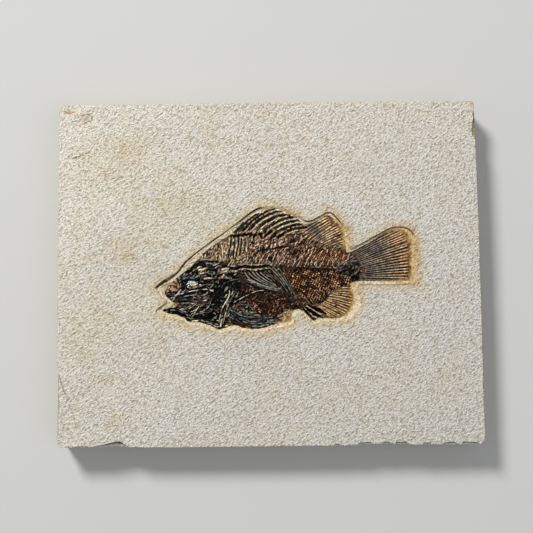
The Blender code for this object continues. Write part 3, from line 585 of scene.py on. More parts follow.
def facing_rings(inner_loop, outer_loop):
    """Walk the recess, the slab's edge and the fish's middle together.

    Between two pairs of facing places, points are evenly spaced along each loop, and their number follows
    the
    mean of the two stretches' lengths. The middle places are joined by straight steps.
    """
    inner_at, outer_at = loop_lengths(inner_loop), loop_lengths(outer_loop)
    inner_total, outer_total = inner_at[-1], outer_at[-1]
    inner_marks = [inner_at[np.argmin(np.hypot(*(inner_loop - place).T))] for place, _, _ in FACING_PLACES]
    outer_marks = [outer_at[np.argmin(np.hypot(*(outer_loop - place).T))] for _, place, _ in FACING_PLACES]
    inner_marks = np.unwrap(np.array(inner_marks + inner_marks[:1]), period=inner_total)
    outer_marks = np.unwrap(np.array(outer_marks + outer_marks[:1]), period=outer_total)
    pace = np.diff(inner_marks) / inner_total + np.diff(outer_marks) / outer_total
    marks = np.concatenate([[0], np.cumsum(pace) / pace.sum()])
    ring = np.arange(RING_POINTS) / RING_POINTS

    def walk(loop, at, total, stops):
        place = np.interp(ring, marks, stops) % total
        closed = np.vstack([loop, loop[:1]])
        return np.stack([np.interp(place, at, closed[:, 0]), np.interp(place, at, closed[:, 1])], 1)

    middles = np.array([place for _, _, place in FACING_PLACES] + [FACING_PLACES[0][2]], float)
    middle = np.stack([np.interp(ring, marks, middles[:, 0]), np.interp(ring, marks, middles[:, 1])], 1)
    return (walk(inner_loop, inner_at, inner_total, inner_marks),
            walk(outer_loop, outer_at, outer_total, outer_marks), middle)


def ring_normals(ring):
    """Outward unit normals of an anticlockwise ring, from the step between each point's neighbours."""
    step = np.roll(ring, -2, 0) - np.roll(ring, 2, 0)
    normal = np.stack([step[:, 1], -step[:, 0]], 1)
    return normal / np.linalg.norm(normal, axis=1)[:, None]


def softness(x, y):
    """How worn the recess wall is at each place, from 0 to 1: the greatest share of the soft places."""
    return np.max([spot(x, y, *worn) for worn in SOFT_WALLS], axis=0)


def above_fish(x, y, blend):
    """1 above the fish's axis and 0 below it; the axis climbs towards the tail up to 10 mm and then runs
    level."""
    return ease(y - np.minimum(0.28 * x + 4, 10), -blend, blend)


def edge_break(ring, place, half_length, most):
    """A break's size round the ring: most at its middle place, falling smoothly to 0 at its ends."""
    return most * spot(ring[:, 0], ring[:, 1], place, half_length * 0.55, half_length)


def make_slab():
    """Stack rings of points into the slab's whole skin, then colour it by where each point lies.

    Every row is a ring of the same number of points. Rows go from the recess floor up its wall, straight
    across
    the face to the slab's edge, over the broken arris, down the sides and across the back.
    """
    recess_loop = smooth_loop(RECESS_EDGE, 8)
    edge = np.array(SLAB_EDGE + SLAB_EDGE[:1], float)
    edge_loop = np.vstack([np.linspace(a, b, max(2, int(np.hypot(*(b - a)) / 0.25)), endpoint=False)
                           for a, b in zip(edge, edge[1:])])
    recess, rim, middle = facing_rings(recess_loop, edge_loop)
    inward = (middle - recess) / np.linalg.norm(middle - recess, axis=1)[:, None]
    outward = ring_normals(rim)
    travel = loop_lengths(rim)[:-1]

    x, y = recess[:, 0], recess[:, 1]
    soft, upper = softness(x, y), above_fish(x, y, 2)
    uneven = np.clip(lattice_noise(x, y, 7, 11), -0.3, 1)
    wall = (WALL_WIDTH + SOFT_WALL_WIDTH * soft + (UPPER_WALL_WIDTH + 0.5 * uneven) * upper * (1 - soft)
            + SNOUT_WALL_WIDTH * spot(x, y, (-58.5, -5), 3, 9) + JAW_WALL_WIDTH
            * spot(x, y, (-59, -18), 3, 4.5))
    wall = wall[:, None]
    fish_outline = np.vstack([smooth_line(stretch, 3) for stretch in FISH_OUTLINE])
    room = np.abs(distance_inside(x, y, fish_outline)) - wall[:, 0]
    terrace = TERRACE_HEIGHT * ease(room, 0.8, 2.2)
    top, floor = FACE_Z / MM, FLOOR_Z / MM
    rows = []

    def add_row(places, heights):
        rows.append(np.column_stack([places, np.broadcast_to(heights, len(places))]))

    furthest = BED_RINGS[0][0]
    for past_wall, raised in BED_RINGS:
        past = np.minimum(past_wall, np.clip(room, 0.3, None) * past_wall / furthest)[:, None]
        add_row(recess + inward * (wall + past), floor + terrace * raised)
    for share, height in WALL_RINGS:
        add_row(recess + inward * wall * share, floor + terrace + (top - floor - terrace) * height)
    add_row(recess, top - 0.01)
    rim_row = len(rows)

    nicks = np.clip(lattice_noise(travel, travel * 0, 3.1, 5) - 0.35, 0, 1) * 0.9
    wear = 0.12 + 0.10 * np.abs(lattice_noise(travel, travel * 0, 1.6, 6)) + nicks * 0.5
    width, drop = wear.copy(), wear * 0.9
    ragged = 1 + 0.30 * lattice_noise(travel, travel * 0, 2.6,
                                      8) + 0.16 * lattice_noise(travel, travel * 0, 1.1, 9)
    for place, half_length, across, deep in EDGE_BREAKS:
        width = np.maximum(width, edge_break(rim, place, half_length, across) * ragged)
        drop = np.maximum(drop, edge_break(rim, place, half_length, deep) * ragged)
    on_lower_edge = rim[:, 1] < -90
    for start, end, across, deep in LOWER_FLAKES:
        flake = ease(rim[:, 0], start - 0.4, start + 1.2) * (1 - ease(rim[:, 0], end - 1.2,
                                                                      end + 0.4)) * on_lower_edge
        width = np.maximum(width, across * flake * ragged)
        drop = np.maximum(drop, deep * flake * ragged)
    at, chip_width, chip_depth = np.transpose(CHIP)
    width = np.maximum(width, np.interp(rim[:, 0], at, chip_width) * (0.75 + 0.25 * ragged) * on_lower_edge)
    drop = np.maximum(drop, np.interp(rim[:, 0], at, chip_depth) * on_lower_edge)
    width, drop = width[:, None], drop

    spoke = (rim - recess) / np.linalg.norm(rim - recess, axis=1)[:, None]
    outward = spoke / np.clip((spoke * outward).sum(1), 0.4, 1)[:, None]
    face_end = rim - outward * (width + 0.35)
    span = face_end - recess
    reach = np.linalg.norm(span, axis=1)[:, None]
    for distance in (0.25, 0.6, 1.1, 1.8):
        add_row(recess + span * distance / reach, top)
    for share in np.linspace(0, 1, FACE_ROWS + 1)[1:]:
        start = 1.8 / reach
        add_row(recess + span * (start + (1 - start) * share), top)
    face_rows = len(rows)

    for share, added, lowered, deep in ARRIS_RINGS:
        add_row(rim - outward * (width * share + added), top - lowered - drop * deep)
    side_top = top - 0.5 - drop * 1.1
    bedding = np.random.default_rng(12).random(SIDE_ROWS + 1)
    for row in range(SIDE_ROWS + 1):
        share = row / SIDE_ROWS
        height = side_top * (1 - share) + 0.35 * share
        dip = 0.05 + 0.10 * bedding[row] + 0.05 * lattice_noise(travel, travel * 0 + row * 7.3, 4.0, 20)
        add_row(rim - outward * dip[:, None], height)
    side_rows = len(rows)

    ledge, lift = np.full(RING_POINTS, 0.5), np.zeros(RING_POINTS)
    for place, half_length, across, deep in BACK_LEDGES:
        ledge = np.maximum(ledge, edge_break(rim, place, half_length, across) * ragged)
        lift = np.maximum(lift, edge_break(rim, place, half_length * 1.05, deep))
    ledge = ledge[:, None]
    homeward = -rim / np.linalg.norm(rim, axis=1)[:, None]
    add_row(rim + homeward * 0.25, 0.10 + lift)
    for share in LEDGE_SHARES:
        add_row(rim + homeward * (0.25 + ledge * share), lift)
    add_row(rim + homeward * (0.25 + ledge * 1.04 + 0.1), lift * 0.15)
    back_start = rim + homeward * (0.6 + ledge * 1.06)
    for share in np.linspace(0, 0.93, BACK_ROWS):
        add_row(back_start * (1 - share), 0.0)

    skin = np.concatenate(rows)
    row_of = np.repeat(np.arange(len(rows)), RING_POINTS)
    x, y = skin[:, 0], skin[:, 1]
    wall_foot = len(BED_RINGS) + 2
    on_floor, on_face = row_of < wall_foot, (row_of >= wall_foot) & (row_of <= face_rows)
    on_back = row_of > side_rows + len(LEDGE_SHARES) + 1
    grain = layered_noise(x + y * 0.25, y - x * 0.2, 3.1, 31, 2)
    roll = lattice_noise(x, y, 26, 40) * 0.10
    skin[:, 2] += np.where(row_of >= rim_row, np.where(on_face, grain * 0.075 + roll * 0.5, 0), 0)
    skin[:, 2] += np.where(on_floor, grain * 0.02, 0)
    skin[:, 2] += np.where(on_back, np.clip(layered_noise(x, y, 17, 44, 3) * 0.35, 0, 0.3), 0)
    for place, across, deep in FACE_DENTS:
        skin[:, 2] -= np.where(on_face, deep * spot(x, y, place, across * 0.3, across), 0)
    flake = ease(distance_inside(x, y, np.array(LEFT_FLAKE, float)) + 0.6 * lattice_noise(x, y, 3, 41),
                 -0.5, 0.5)
    skin[:, 2] -= np.where(on_face, FLAKE_DEPTH * flake, 0)

    tint, rough = colour_slab(x, y, skin[:, 2], row_of, rim_row, face_rows, side_rows)
    ring = np.arange(RING_POINTS)
    following = (ring + 1) % RING_POINTS
    base = (np.arange(len(rows) - 1) * RING_POINTS)[:, None]
    quads = np.stack([base + ring, base + RING_POINTS + ring, base + RING_POINTS + following,
                      base + following], 2)
    caps = [ring, (len(rows) - 1) * RING_POINTS + ring[::-1]]
    return make_piece("slab_stone", skin * MM, quads.reshape(-1, 4), caps, tint, {"rawness": rough})


def colour_slab(x, y, height, row_of, rim_row, face_rows, side_rows):
    """Colours of the slab's skin, and how raw it is: 0 on the dressed face and 1 on broken stone."""
    def mix(share, colour):
        nonlocal tint
        tint = tint + (colour - tint) * np.clip(share, 0, 1)[:, None]

    tint = np.tile(CREAM_STONE, (len(x), 1))
    # Greyer towards the lower right: partly the stone's own tone, partly painted fall-off of the light
    mix(ease(x * 0.5 - y * 0.6, -90, 110) * 0.75, GREY_STONE)
    warmer = 0.25 + 0.6 * ease(y * 0.6 - x, -20, 120)
    mix(ease(-x, 10, 110) * ease(y, -90, 20) * 0.06, HONEY_STONE)
    mix(ease(lattice_noise(x, y, 34, 51), 0.0, 0.9) * 0.30 * warmer, HONEY_STONE)
    mix(ease(lattice_noise(x, y, 19, 52), 0.2, 0.9) * 0.20, GREY_STONE * 0.95)
    mix(ease(layered_noise(x, y, 8, 53), 0.05, 0.6) * 0.34 * warmer, HONEY_STONE)
    mix(ease(layered_noise(x, y, 3.4, 61, 2), 0.15, 0.7) * 0.26 * warmer, HONEY_STONE * 0.9)
    # Painted light: the face lighter towards its upper left, where the key light falls strongest
    mix(ease(y * 0.6 - x, 70, 150) * 0.44, shade(236, 233, 223))
    for place, across, share, colour in FACE_STAINS:
        away = np.hypot(x - place[0], y - place[1]) * (1 + 0.35 * layered_noise(x, y, 5, 54))
        mix((1 - ease(away, across * 0.2, across)) * share, colour)

    from_recess = -distance_inside(x, y, smooth_loop(RECESS_EDGE, 4))
    halo = (1 - ease(from_recess, 0.5, 6.5)) * (0.55 + 0.35 * lattice_noise(x, y, 4, 55))
    mix(halo * 0.8, shade(206, 180, 128))
    ragged = from_recess + 2.5 * layered_noise(x, y, 3.5, 60, 2)
    for place, inner, outer, strength in FIN_STAINS:
        mix(spot(x, y, place, inner, outer) * (1 - ease(ragged, -1.5, 3.5)) * strength, shade(192, 152, 90))

    bed_rows = len(BED_RINGS)
    on_floor, on_wall = row_of < bed_rows, (row_of >= bed_rows) & (row_of < rim_row)
    upper, soft = above_fish(x, y, 3), softness(x, y)
    mix(on_floor * 1.0, BED_STONE)
    mix(on_floor * soft * 0.6, shade(206, 180, 130))
    # Painted highlight: a bright band on the recess floor along the foot of the wall above the fish
    painted_gleam = upper * np.clip(0.6 + 0.6 * lattice_noise(x, y, 5, 63), 0, 1)
    mix((row_of == bed_rows - 1) * painted_gleam * 0.9, shade(250, 246, 232))
    mix((row_of == bed_rows - 2) * painted_gleam * 0.2, shade(252, 248, 236))
    mix(on_floor * spot(x, y, (-57, -7), 2, 6) * (0.5 + 0.5 * lattice_noise(x, y, 1.4, 62)),
        shade(190, 160, 122))
    lip = spot(x, y, (-60.5, -11.8), 2.6, 4.0)
    jaw = spot(x, y, (-59.5, -18.8), 2.6, 4.5)
    fringe = ease(x, -5, 0) * (1 - ease(x, 19, 22)) * ease(y, 22, 26)
    # Painted shade: the recess wall above the fish and beside the jaw darkened as if in shadow, less where
    # the wall is worn soft, at the lip and under the dorsal spines' tips
    painted_wall_shade = np.maximum(upper * (1 - 0.85 * soft) * (1 - lip) * (1 - 0.6 * fringe), jaw)
    mix(on_wall * painted_wall_shade * np.clip(0.8 + 0.35 * lattice_noise(x, y, 6, 64), 0, 1), shade(66, 55, 30))
    # Painted shade on the recess wall round the snout's tip
    mix(on_wall * spot(x, y, (-59, -5.5), 3.0, 5.5) * ease(y, -9.4, -8.2) * 0.95, shade(58, 48, 28))
    mix(on_wall * lip * 0.6, shade(196, 170, 130))
    mix(on_wall * soft * 0.75, shade(204, 180, 132))
    # Painted light and shade on the recess wall below the fish, which faces the light: bright cream near its
    # foot, darker tan higher up
    lower = (1 - upper) * (1 - jaw) * (1 - soft)
    mix(on_wall * (row_of < bed_rows + 3) * lower * (0.9 - 0.3 * ease(x, 5, 30)), shade(238, 223, 186))
    mix(on_wall * (row_of >= bed_rows + 3) * lower * 0.5, shade(180, 158, 116))
    under_tail = ease(x, 47, 50) * (1 - ease(x, 76, 80)) * ease(y, -9, -8.4) * (1 - ease(y, -6.8, -6.2))
    mix((row_of >= rim_row - 2) * (row_of <= rim_row) * under_tail * 0.8, shade(138, 114, 84))

    side = (row_of > face_rows) & (row_of <= side_rows)
    back = row_of > side_rows
    mix(side * 1.0, SAWN_STONE)
    beds = lattice_noise(height * 3.1 + 0.25 * lattice_noise(x, y, 20, 56), x * 0.02 + y * 0.02, 1.0, 57)
    mix(side * ease(beds, 0.1, 0.8) * 0.5, shade(150, 128, 94))
    mix(side * ease(-beds, 0.1, 0.8) * 0.4, shade(214, 206, 186))
    mix(back * 0.7, shade(196, 186, 160))
    mix(back * ease(layered_noise(x, y, 24, 58), 0.0, 0.5) * 0.6, HONEY_STONE * 0.9)
    mix(back * ease(layered_noise(x, y, 11, 59), 0.25, 0.6) * 0.4, shade(150, 124, 84))

    near_edge = np.maximum(np.abs(x) - HALF_WIDTH, np.abs(y) - HALF_LENGTH)
    sunk = FACE_Z / MM - height
    broken = (row_of > face_rows) & (row_of <= face_rows + len(ARRIS_RINGS))
    mix(broken * ease(sunk, 0.3, 1.0) * 0.8, FRESH_BREAK)
    # Painted shadow: near black in the chip and the flakes of the lower edge where they sink below the face
    painted_pit_shadow = (row_of > face_rows) & (row_of <= face_rows + 2) & (y < -88)
    mix(painted_pit_shadow * ease(sunk, 0.15, 0.4) * 0.9, shade(28, 23, 19))
    # Painted light: the lower rows of the breaks along the lower edge, the ledges, near white
    mix((row_of >= face_rows + 3) * broken * (y < -88) * 0.8, shade(232, 229, 220))
    mix(broken * (x > 110) * ease(y, 70, 76) * 0.75, shade(170, 148, 108))
    mix(broken * (x > 110) * (1 - ease(np.abs(y - 85), 0.8, 2.5)) * 0.8, shade(92, 68, 46))
    facet = (row_of <= face_rows) * ease(x + y, 203.2, 204.4)
    mix(facet * 0.75, shade(204, 191, 156))
    mix((row_of <= face_rows) * ease(near_edge, -1.3, -0.3) * 0.35, shade(226, 220, 204))
    rough = np.clip(side * 0.6 + broken * 0.5 + back * 0.3, 0, 1)
    return tint, rough


# ---------------------------------------------------------------------------------------------- the fish

# Stretches of the fish along x (mm), with each one's columns and rows
FISH_STRETCHES = {"fish_head": (None, -12.0, 290, 328), "fish_trunk": (-12.0, 26.0, 240, 396),
                  "fish_tail": (26.0, None, 330, 288)}
MARGIN_COLUMNS = 10
# How far light and dark strokes are set apart from the tone around them
CRISPNESS = 0.85
# How much further the darkest tones sink
DEPTH_OF_DARKS = 0.28
# Fin margins that thin away: middle place, inner and outer reach, and depth of the thinning
FADING_MARGINS = [((41, 22), 5, 11, 2.2), ((77, 20.5), 3, 9, 3.4), ((78, 10), 14, 19, 2.0),
                  ((46, -18), 7, 12, 2.0), ((9, -26), 4, 7, 1.6)]
SUNK = -0.8
LUMINANCE = np.array([0.2126, 0.7152, 0.0722])


def set_colour(canvas, share, colour, here=slice(None)):
    """Mix a colour into the canvas by a share from 0 to 1 at each place."""
    tint = canvas["tint"][here]
    canvas["tint"][here] = tint + (colour - tint) * np.clip(share, 0, 1)[:, None]


def places_near(canvas, loop, reach):
    """Numbers of the canvas places within reach of a loop's bounding box."""
    x, y = canvas["x"], canvas["y"]
    low, high = np.min(loop, 0) - reach, np.max(loop, 0) + reach
    return np.nonzero((x > low[0]) & (x < high[0]) & (y > low[1]) & (y < high[1]))[0]


def lay_zone(canvas, loop, base, strand, angle, length, width, amount, seed, fade=0.9):
    """Fill a zone with a base colour, with black hollows and with thin strands along an angle.

    A strand is where a stretched noise passes zero, so strands wander, split and meet. They stand a little
    proud.
    """
    here = places_near(canvas, loop, fade * 2)
    x, y = canvas["x"][here], canvas["y"][here]
    edge = distance_inside(x, y, smooth_loop(loop, 4)) + lattice_noise(x, y, 1.7, seed + 9) * fade
    cover = ease(edge, -fade, fade)
    blots = layered_noise(x, y, 2.6, seed + 5, 2)
    thin = 1 - np.abs(streaks(x, y, angle, length, width, seed)) / 0.34
    thinner = 1 - np.abs(streaks(x, y, angle + 14, length * 0.6, width * 0.65, seed + 3)) / 0.30
    strands = np.maximum(thin, thinner * 0.8)
    set_colour(canvas, cover * 0.97, base, here)
    set_colour(canvas, cover * ease(-blots, 0.0, 0.5) * 0.7, base * 0.35, here)
    set_colour(canvas, cover * ease(strands, 0.55 - amount, 1.05 - amount) * (0.75 + 0.5 * blots), strand,
               here)
    hollows = streaks(x, y, angle + 6, length * 0.8, width * 1.1, seed + 7)
    set_colour(canvas, cover * ease(hollows, 0.25, 0.6) * 0.75, BLACK_BONE, here)
    canvas["height"][here] += cover * (np.clip(strands, -0.5, 1) * 0.07 - ease(hollows, 0.25, 0.6) * 0.06)
    return here, cover


def lay_bone(canvas, line, half_width, height, colour, shine=None, edge=None, taper=(1.0, 0.6), strength=0.95,
             wear=0.42, lens=False):
    """Lay a bone along a line: a half-ellipse ridge that tapers, with painted shade in the edge colour beside
    it, stronger on the side away from the light, and a painted highlight on its lit flank."""
    path = smooth_line(line, 4) if len(line) > 2 else np.array(line, float)
    here, gap, along, lean = near_line(canvas["x"], canvas["y"], path, half_width * 2.6)
    if not len(here):
        return
    x, y = canvas["x"][here], canvas["y"][here]
    wide = half_width * (taper[0] + (taper[1] - taper[0]) * along)
    if lens:
        wide = wide * np.sqrt(np.clip(np.sin(math.pi * along), 0.02, 1))
    wide = wide * (1 + 0.28 * lattice_noise(x, y, 1.0, 77) + 0.16 * lattice_noise(x, y, 0.5, 76))
    worn = np.clip(1 - wear * (0.33 - lattice_noise(x, y, 1.4, 79)), 0.1, 1)
    ends = ease(along, -0.03, 0.04) * ease(1 - along, -0.03, 0.08)
    body = (1 - ease(gap / wide, 0.7, 1.1)) * ends
    if edge is not None:
        # Painted shade: the edge colour, mostly dark, fills the groove beside the bone, more on the side away
        # from the light
        groove = ease(gap / wide, 0.7, 1.1) * (1 - ease(gap / wide, 1.3, 2.4)) * ends
        set_colour(canvas, groove * (0.85 - 0.15 * lean) * strength * np.clip(worn + 0.25, 0, 1), edge, here)
        canvas["height"][here] -= groove * height * 0.3
    set_colour(canvas, body * strength * worn, colour, here)
    if shine is not None:
        # Painted highlight along the flank that faces the light
        lit = (1 - ease(np.abs(gap * lean / wide - 0.30), 0.10, 0.42)) * body
        patchy = np.clip(0.55 + 0.7 * lattice_noise(x, y, 1.2, 78), 0, 1)
        set_colour(canvas, lit * patchy * strength, shine, here)
    canvas["height"][here] += height * np.sqrt(np.clip(1 - (gap / wide) ** 2, 0, 1)) * ends
    canvas["gloss"][here] = np.maximum(canvas["gloss"][here], body * 0.8)


def lay_bones(canvas, lines, *settings, **more):
    """Lay several bones with the same settings."""
    for line in lines:
        lay_bone(canvas, line, *settings, **more)


def scatter_strokes(canvas, loop, count, length, angle, spread, half_width, height, colour, seed, edge=None,
                    strength=0.9):
    """Scatter short curved strokes over a zone: places, lengths, angles and widths vary round the given
    ones."""
    random = np.random.default_rng(seed)
    low, high = np.min(loop, 0), np.max(loop, 0)
    places = low + random.random((count * 4, 2)) * (high - low)
    places = places[distance_inside(places[:, 0], places[:, 1], np.array(loop, float)) > 0.2][:count]
    tones = random.random(count)
    for place, a, b, c, tone in zip(places, random.normal(0, 1, count), random.random(count),
                                    random.normal(0, 1, count), tones):
        turn = math.radians(angle + a * spread)
        reach = np.array([math.cos(turn), math.sin(turn)]) * length * (0.55 + 0.9 * b) / 2
        bend = np.array([-reach[1], reach[0]]) * 0.22 * c
        lay_bone(canvas, [place - reach, place + bend, place + reach], half_width * (0.7 + 0.7 * b), height,
                 np.clip(colour * (0.55 + 0.8 * tone), 0, 1), edge=edge, taper=(1.1, 0.9),
                 strength=strength * (0.75 + 0.25 * tone), wear=0.7, lens=True)


def lay_patch(canvas, loop, colour, fade=0.25, strength=0.9, height=0.0):
    """Fill a small patch with one colour."""
    here = places_near(canvas, loop, 1.5)
    x, y = canvas["x"][here], canvas["y"][here]
    edge = distance_inside(x, y, smooth_loop(loop, 4))
    cover = ease(edge + 0.2 * lattice_noise(x, y, 0.9, 61), -fade, fade)
    set_colour(canvas, cover * strength, colour, here)
    canvas["height"][here] += cover * height


def row_of_lines(roots, tips, count, bow, seed, jitter=0.25):
    """Spread lines evenly from a line of roots to a line of tips; each bows sideways by a half-sine and
    jitters."""
    random = np.random.default_rng(seed)
    share = np.linspace(0, 1, count)

    def spread(points):
        points = np.array(points, float)
        lengths = np.concatenate([[0], np.cumsum(np.linalg.norm(np.diff(points, axis=0), axis=1))])
        lengths /= lengths[-1]
        return np.stack([np.interp(share, lengths, points[:, 0]), np.interp(share, lengths, points[:, 1])], 1)

    starts, ends = spread(roots), spread(tips)
    lines = []
    for start, end in zip(starts + random.normal(0, jitter, starts.shape),
                          ends + random.normal(0, jitter, ends.shape)):
        reach = end - start
        across = np.array([-reach[1], reach[0]]) / np.hypot(*reach)
        steps = np.linspace(0, 1, 6)[:, None]
        lines.append(start + reach * steps + across * np.sin(np.pi * steps) * bow)
    return lines


def lay_rays(canvas, rays, count, seed, half_width, light, dark, taper=(0.85, 1.1), wear=0.7):
    """Lay a fin's rays from their roots to their tips, light with dark grooves between."""
    lay_bones(canvas, row_of_lines(*rays, count, 0.25, seed, 0.14), half_width, 0.14, light, edge=dark,
              taper=taper,
              strength=0.9, wear=wear)


def lay_fins(canvas):
    """Fin membranes with their rays, from the margin in."""
    here, cover = lay_zone(canvas, ZONES["spiny_dorsal"], shade(176, 152, 118), shade(206, 184, 148), 38,
                           3, 0.6, 0.2, 101)
    edge = canvas["edge"][here] + 0.7 * lattice_noise(canvas["x"][here], canvas["y"][here], 1.3, 100)
    set_colour(canvas, cover * (1 - ease(edge, 0.5, 2.2)), BED_STONE, here)
    scatter_strokes(canvas, ZONES["spiny_dorsal"], 90, 2.6, 40, 12, 0.24, 0.1, shade(56, 44, 36), 102,
                    strength=0.85)
    scatter_strokes(canvas, ZONES["spiny_dorsal"], 40, 1.2, 40, 30, 0.4, 0.1, shade(176, 124, 76), 103,
                    strength=0.8)
    here, cover = lay_zone(canvas, ZONES["soft_dorsal"], shade(124, 94, 68), shade(190, 156, 112), 22, 6,
                           0.5, -0.2, 104)
    lay_rays(canvas, SOFT_DORSAL_RAYS, 15, 105, 0.32, shade(196, 168, 126), shade(58, 46, 42))
    x, y = canvas["x"][here], canvas["y"][here]
    root = 1 - ease(np.abs(y - (27 - 0.55 * (x - 17))) , 1.5, 5)
    set_colour(canvas, cover * root * 0.6 * ease(lattice_noise(x, y, 2.2, 106), -0.5, 0.4),
               shade(64, 66, 68), here)
    here, cover = lay_zone(canvas, ZONES["anal_fin"], shade(112, 86, 60), shade(182, 152, 110), -14, 5,
                           0.6, -0.1, 107)
    lay_rays(canvas, ANAL_RAYS, 16, 108, 0.26, shade(184, 154, 112), shade(48, 38, 32))
    here, cover = lay_zone(canvas, ZONES["tail_fin"], shade(98, 72, 50), shade(168, 130, 88), 10, 6, 0.5,
                           -0.1, 110)
    x, y = canvas["x"][here], canvas["y"][here]
    from_hub = np.hypot(x - 46, (y - 2) * 0.8) + 2.0 * lattice_noise(x, y, 4, 111)
    set_colour(canvas, cover * ease(from_hub, 15, 22) * ease(lattice_noise(x, y, 5, 113), -0.4, 0.6) * 0.6,
               shade(112, 62, 34), here)
    lay_rays(canvas, TAIL_RAYS, 19, 114, 0.36, shade(184, 150, 110), shade(48, 34, 29), taper=(0.5, 1.1),
             wear=0.4)
    set_colour(canvas, cover * ease(from_hub, 18, 27) * ease(lattice_noise(x, y, 2.2, 121), 0.0, 0.6) * 0.4,
               shade(166, 126, 80), here)
    smoky = cover * (1 - ease(from_hub, 15, 33)) * np.clip(0.95 + 0.4 * lattice_noise(x, y, 3, 115), 0, 1)
    grey = (canvas["tint"][here] @ LUMINANCE)[:, None] * np.array([0.36, 0.355, 0.345])
    set_colour(canvas, smoky * 0.9, grey, here)
    set_colour(canvas, cover * spot(x, y, (52, -0.5), 1, 4.5) * ease(lattice_noise(x, y, 1.3, 117), -0.2, 0.5)
               * 0.6, shade(160, 110, 72), here)


def fade_fin_margins(canvas, edge):
    """Near a fin's rear margin the bone thins: golden stain over the bed's stone, ragged from ray to
    ray."""
    x, y = canvas["x"], canvas["y"]
    ragged = edge + 0.9 * layered_noise(x, y, 1.8, 118, 2)
    for place, inner, outer, depth in FADING_MARGINS:
        cover = spot(x, y, place, inner, outer)
        grains = np.clip(0.75 + 0.6 * lattice_noise(x, y, 1.1, 119), 0.2, 1)
        set_colour(canvas, cover * (1 - ease(ragged, depth * 0.5, depth * 1.3)) * grains * 0.85,
                   shade(178, 138, 80))
        set_colour(canvas, cover * (1 - ease(ragged, 0.0, depth * 0.7)) * 0.8, shade(206, 178, 126))


def lay_fin_bones(canvas):
    """Spines of the fins, and the fan of bones in the tail's root."""
    lay_bones(canvas, row_of_lines([(19, 23.6), (26, 17.5)], [(29, 29), (31, 20)], 7, 0.4, 303), 0.3, 0.12,
              shade(92, 94, 92), edge=shade(30, 27, 25), taper=(1.0, 0.5), strength=0.7)
    lay_bones(canvas, [np.array(line) + (1.0, -1.15) for line in DORSAL_SPINES], 0.24, 0.2,
              shade(168, 156, 134),
              edge=shade(40, 33, 28), taper=(1.1, 0.8), strength=0.8, wear=1.2)
    lay_bones(canvas, DORSAL_SPINES, 1.1, 0.45, BLACK_BONE, shine=shade(64, 68, 68), taper=(1.0, 0.55),
              wear=0.1)
    lay_bones(canvas, ANAL_SPINE_GAPS, 0.5, 0.2, shade(176, 164, 140), taper=(1.0, 0.8), strength=0.7,
              wear=0.8)
    for line, half_width in zip(ANAL_SPINES, (0.75, 1.35, 1.2)):
        lay_bone(canvas, line, half_width, 0.5, BLACK_BONE, taper=(1.0, 0.9), strength=1.0, wear=0.0,
                 lens=True)
    scatter_strokes(canvas, [(13, 21.6), (22, 23.2), (23, 18.5), (15, 18)], 16, 2.2, 35, 30, 0.26, 0.1,
                    shade(134, 126, 110), 304, edge=shade(30, 26, 24))
    lay_bones(canvas, HYPURALS, 0.42, 0.3, shade(104, 106, 104), shine=shade(150, 152, 146), edge=BLACK_BONE,
              taper=(1.0, 0.6))


def make_canvas(x, y, edge):
    """Work out the fish's height above its bed (mm), colours and gloss at places, edge millimetres from
    its outline."""
    canvas = {"x": x, "y": y, "edge": edge, "height": np.zeros(len(x)), "gloss": np.full(len(x), 0.3),
              "tint": np.tile(UMBER, (len(x), 1))}
    for (cx, cy), (a, b), degrees, rise in SWELLINGS:
        turn = math.radians(degrees)
        u = ((x - cx) * math.cos(turn) + (y - cy) * math.sin(turn)) / a
        v = ((y - cy) * math.cos(turn) - (x - cx) * math.sin(turn)) / b
        canvas["height"] += rise * np.sqrt(np.clip(1 - u * u - v * v, 0, 1))

    lay_fins(canvas)
    lay_flesh(canvas)
    lay_scales(canvas)
    lay_fin_bones(canvas)
    lay_trunk_bones(canvas)
    lay_head_bones(canvas)
    return canvas


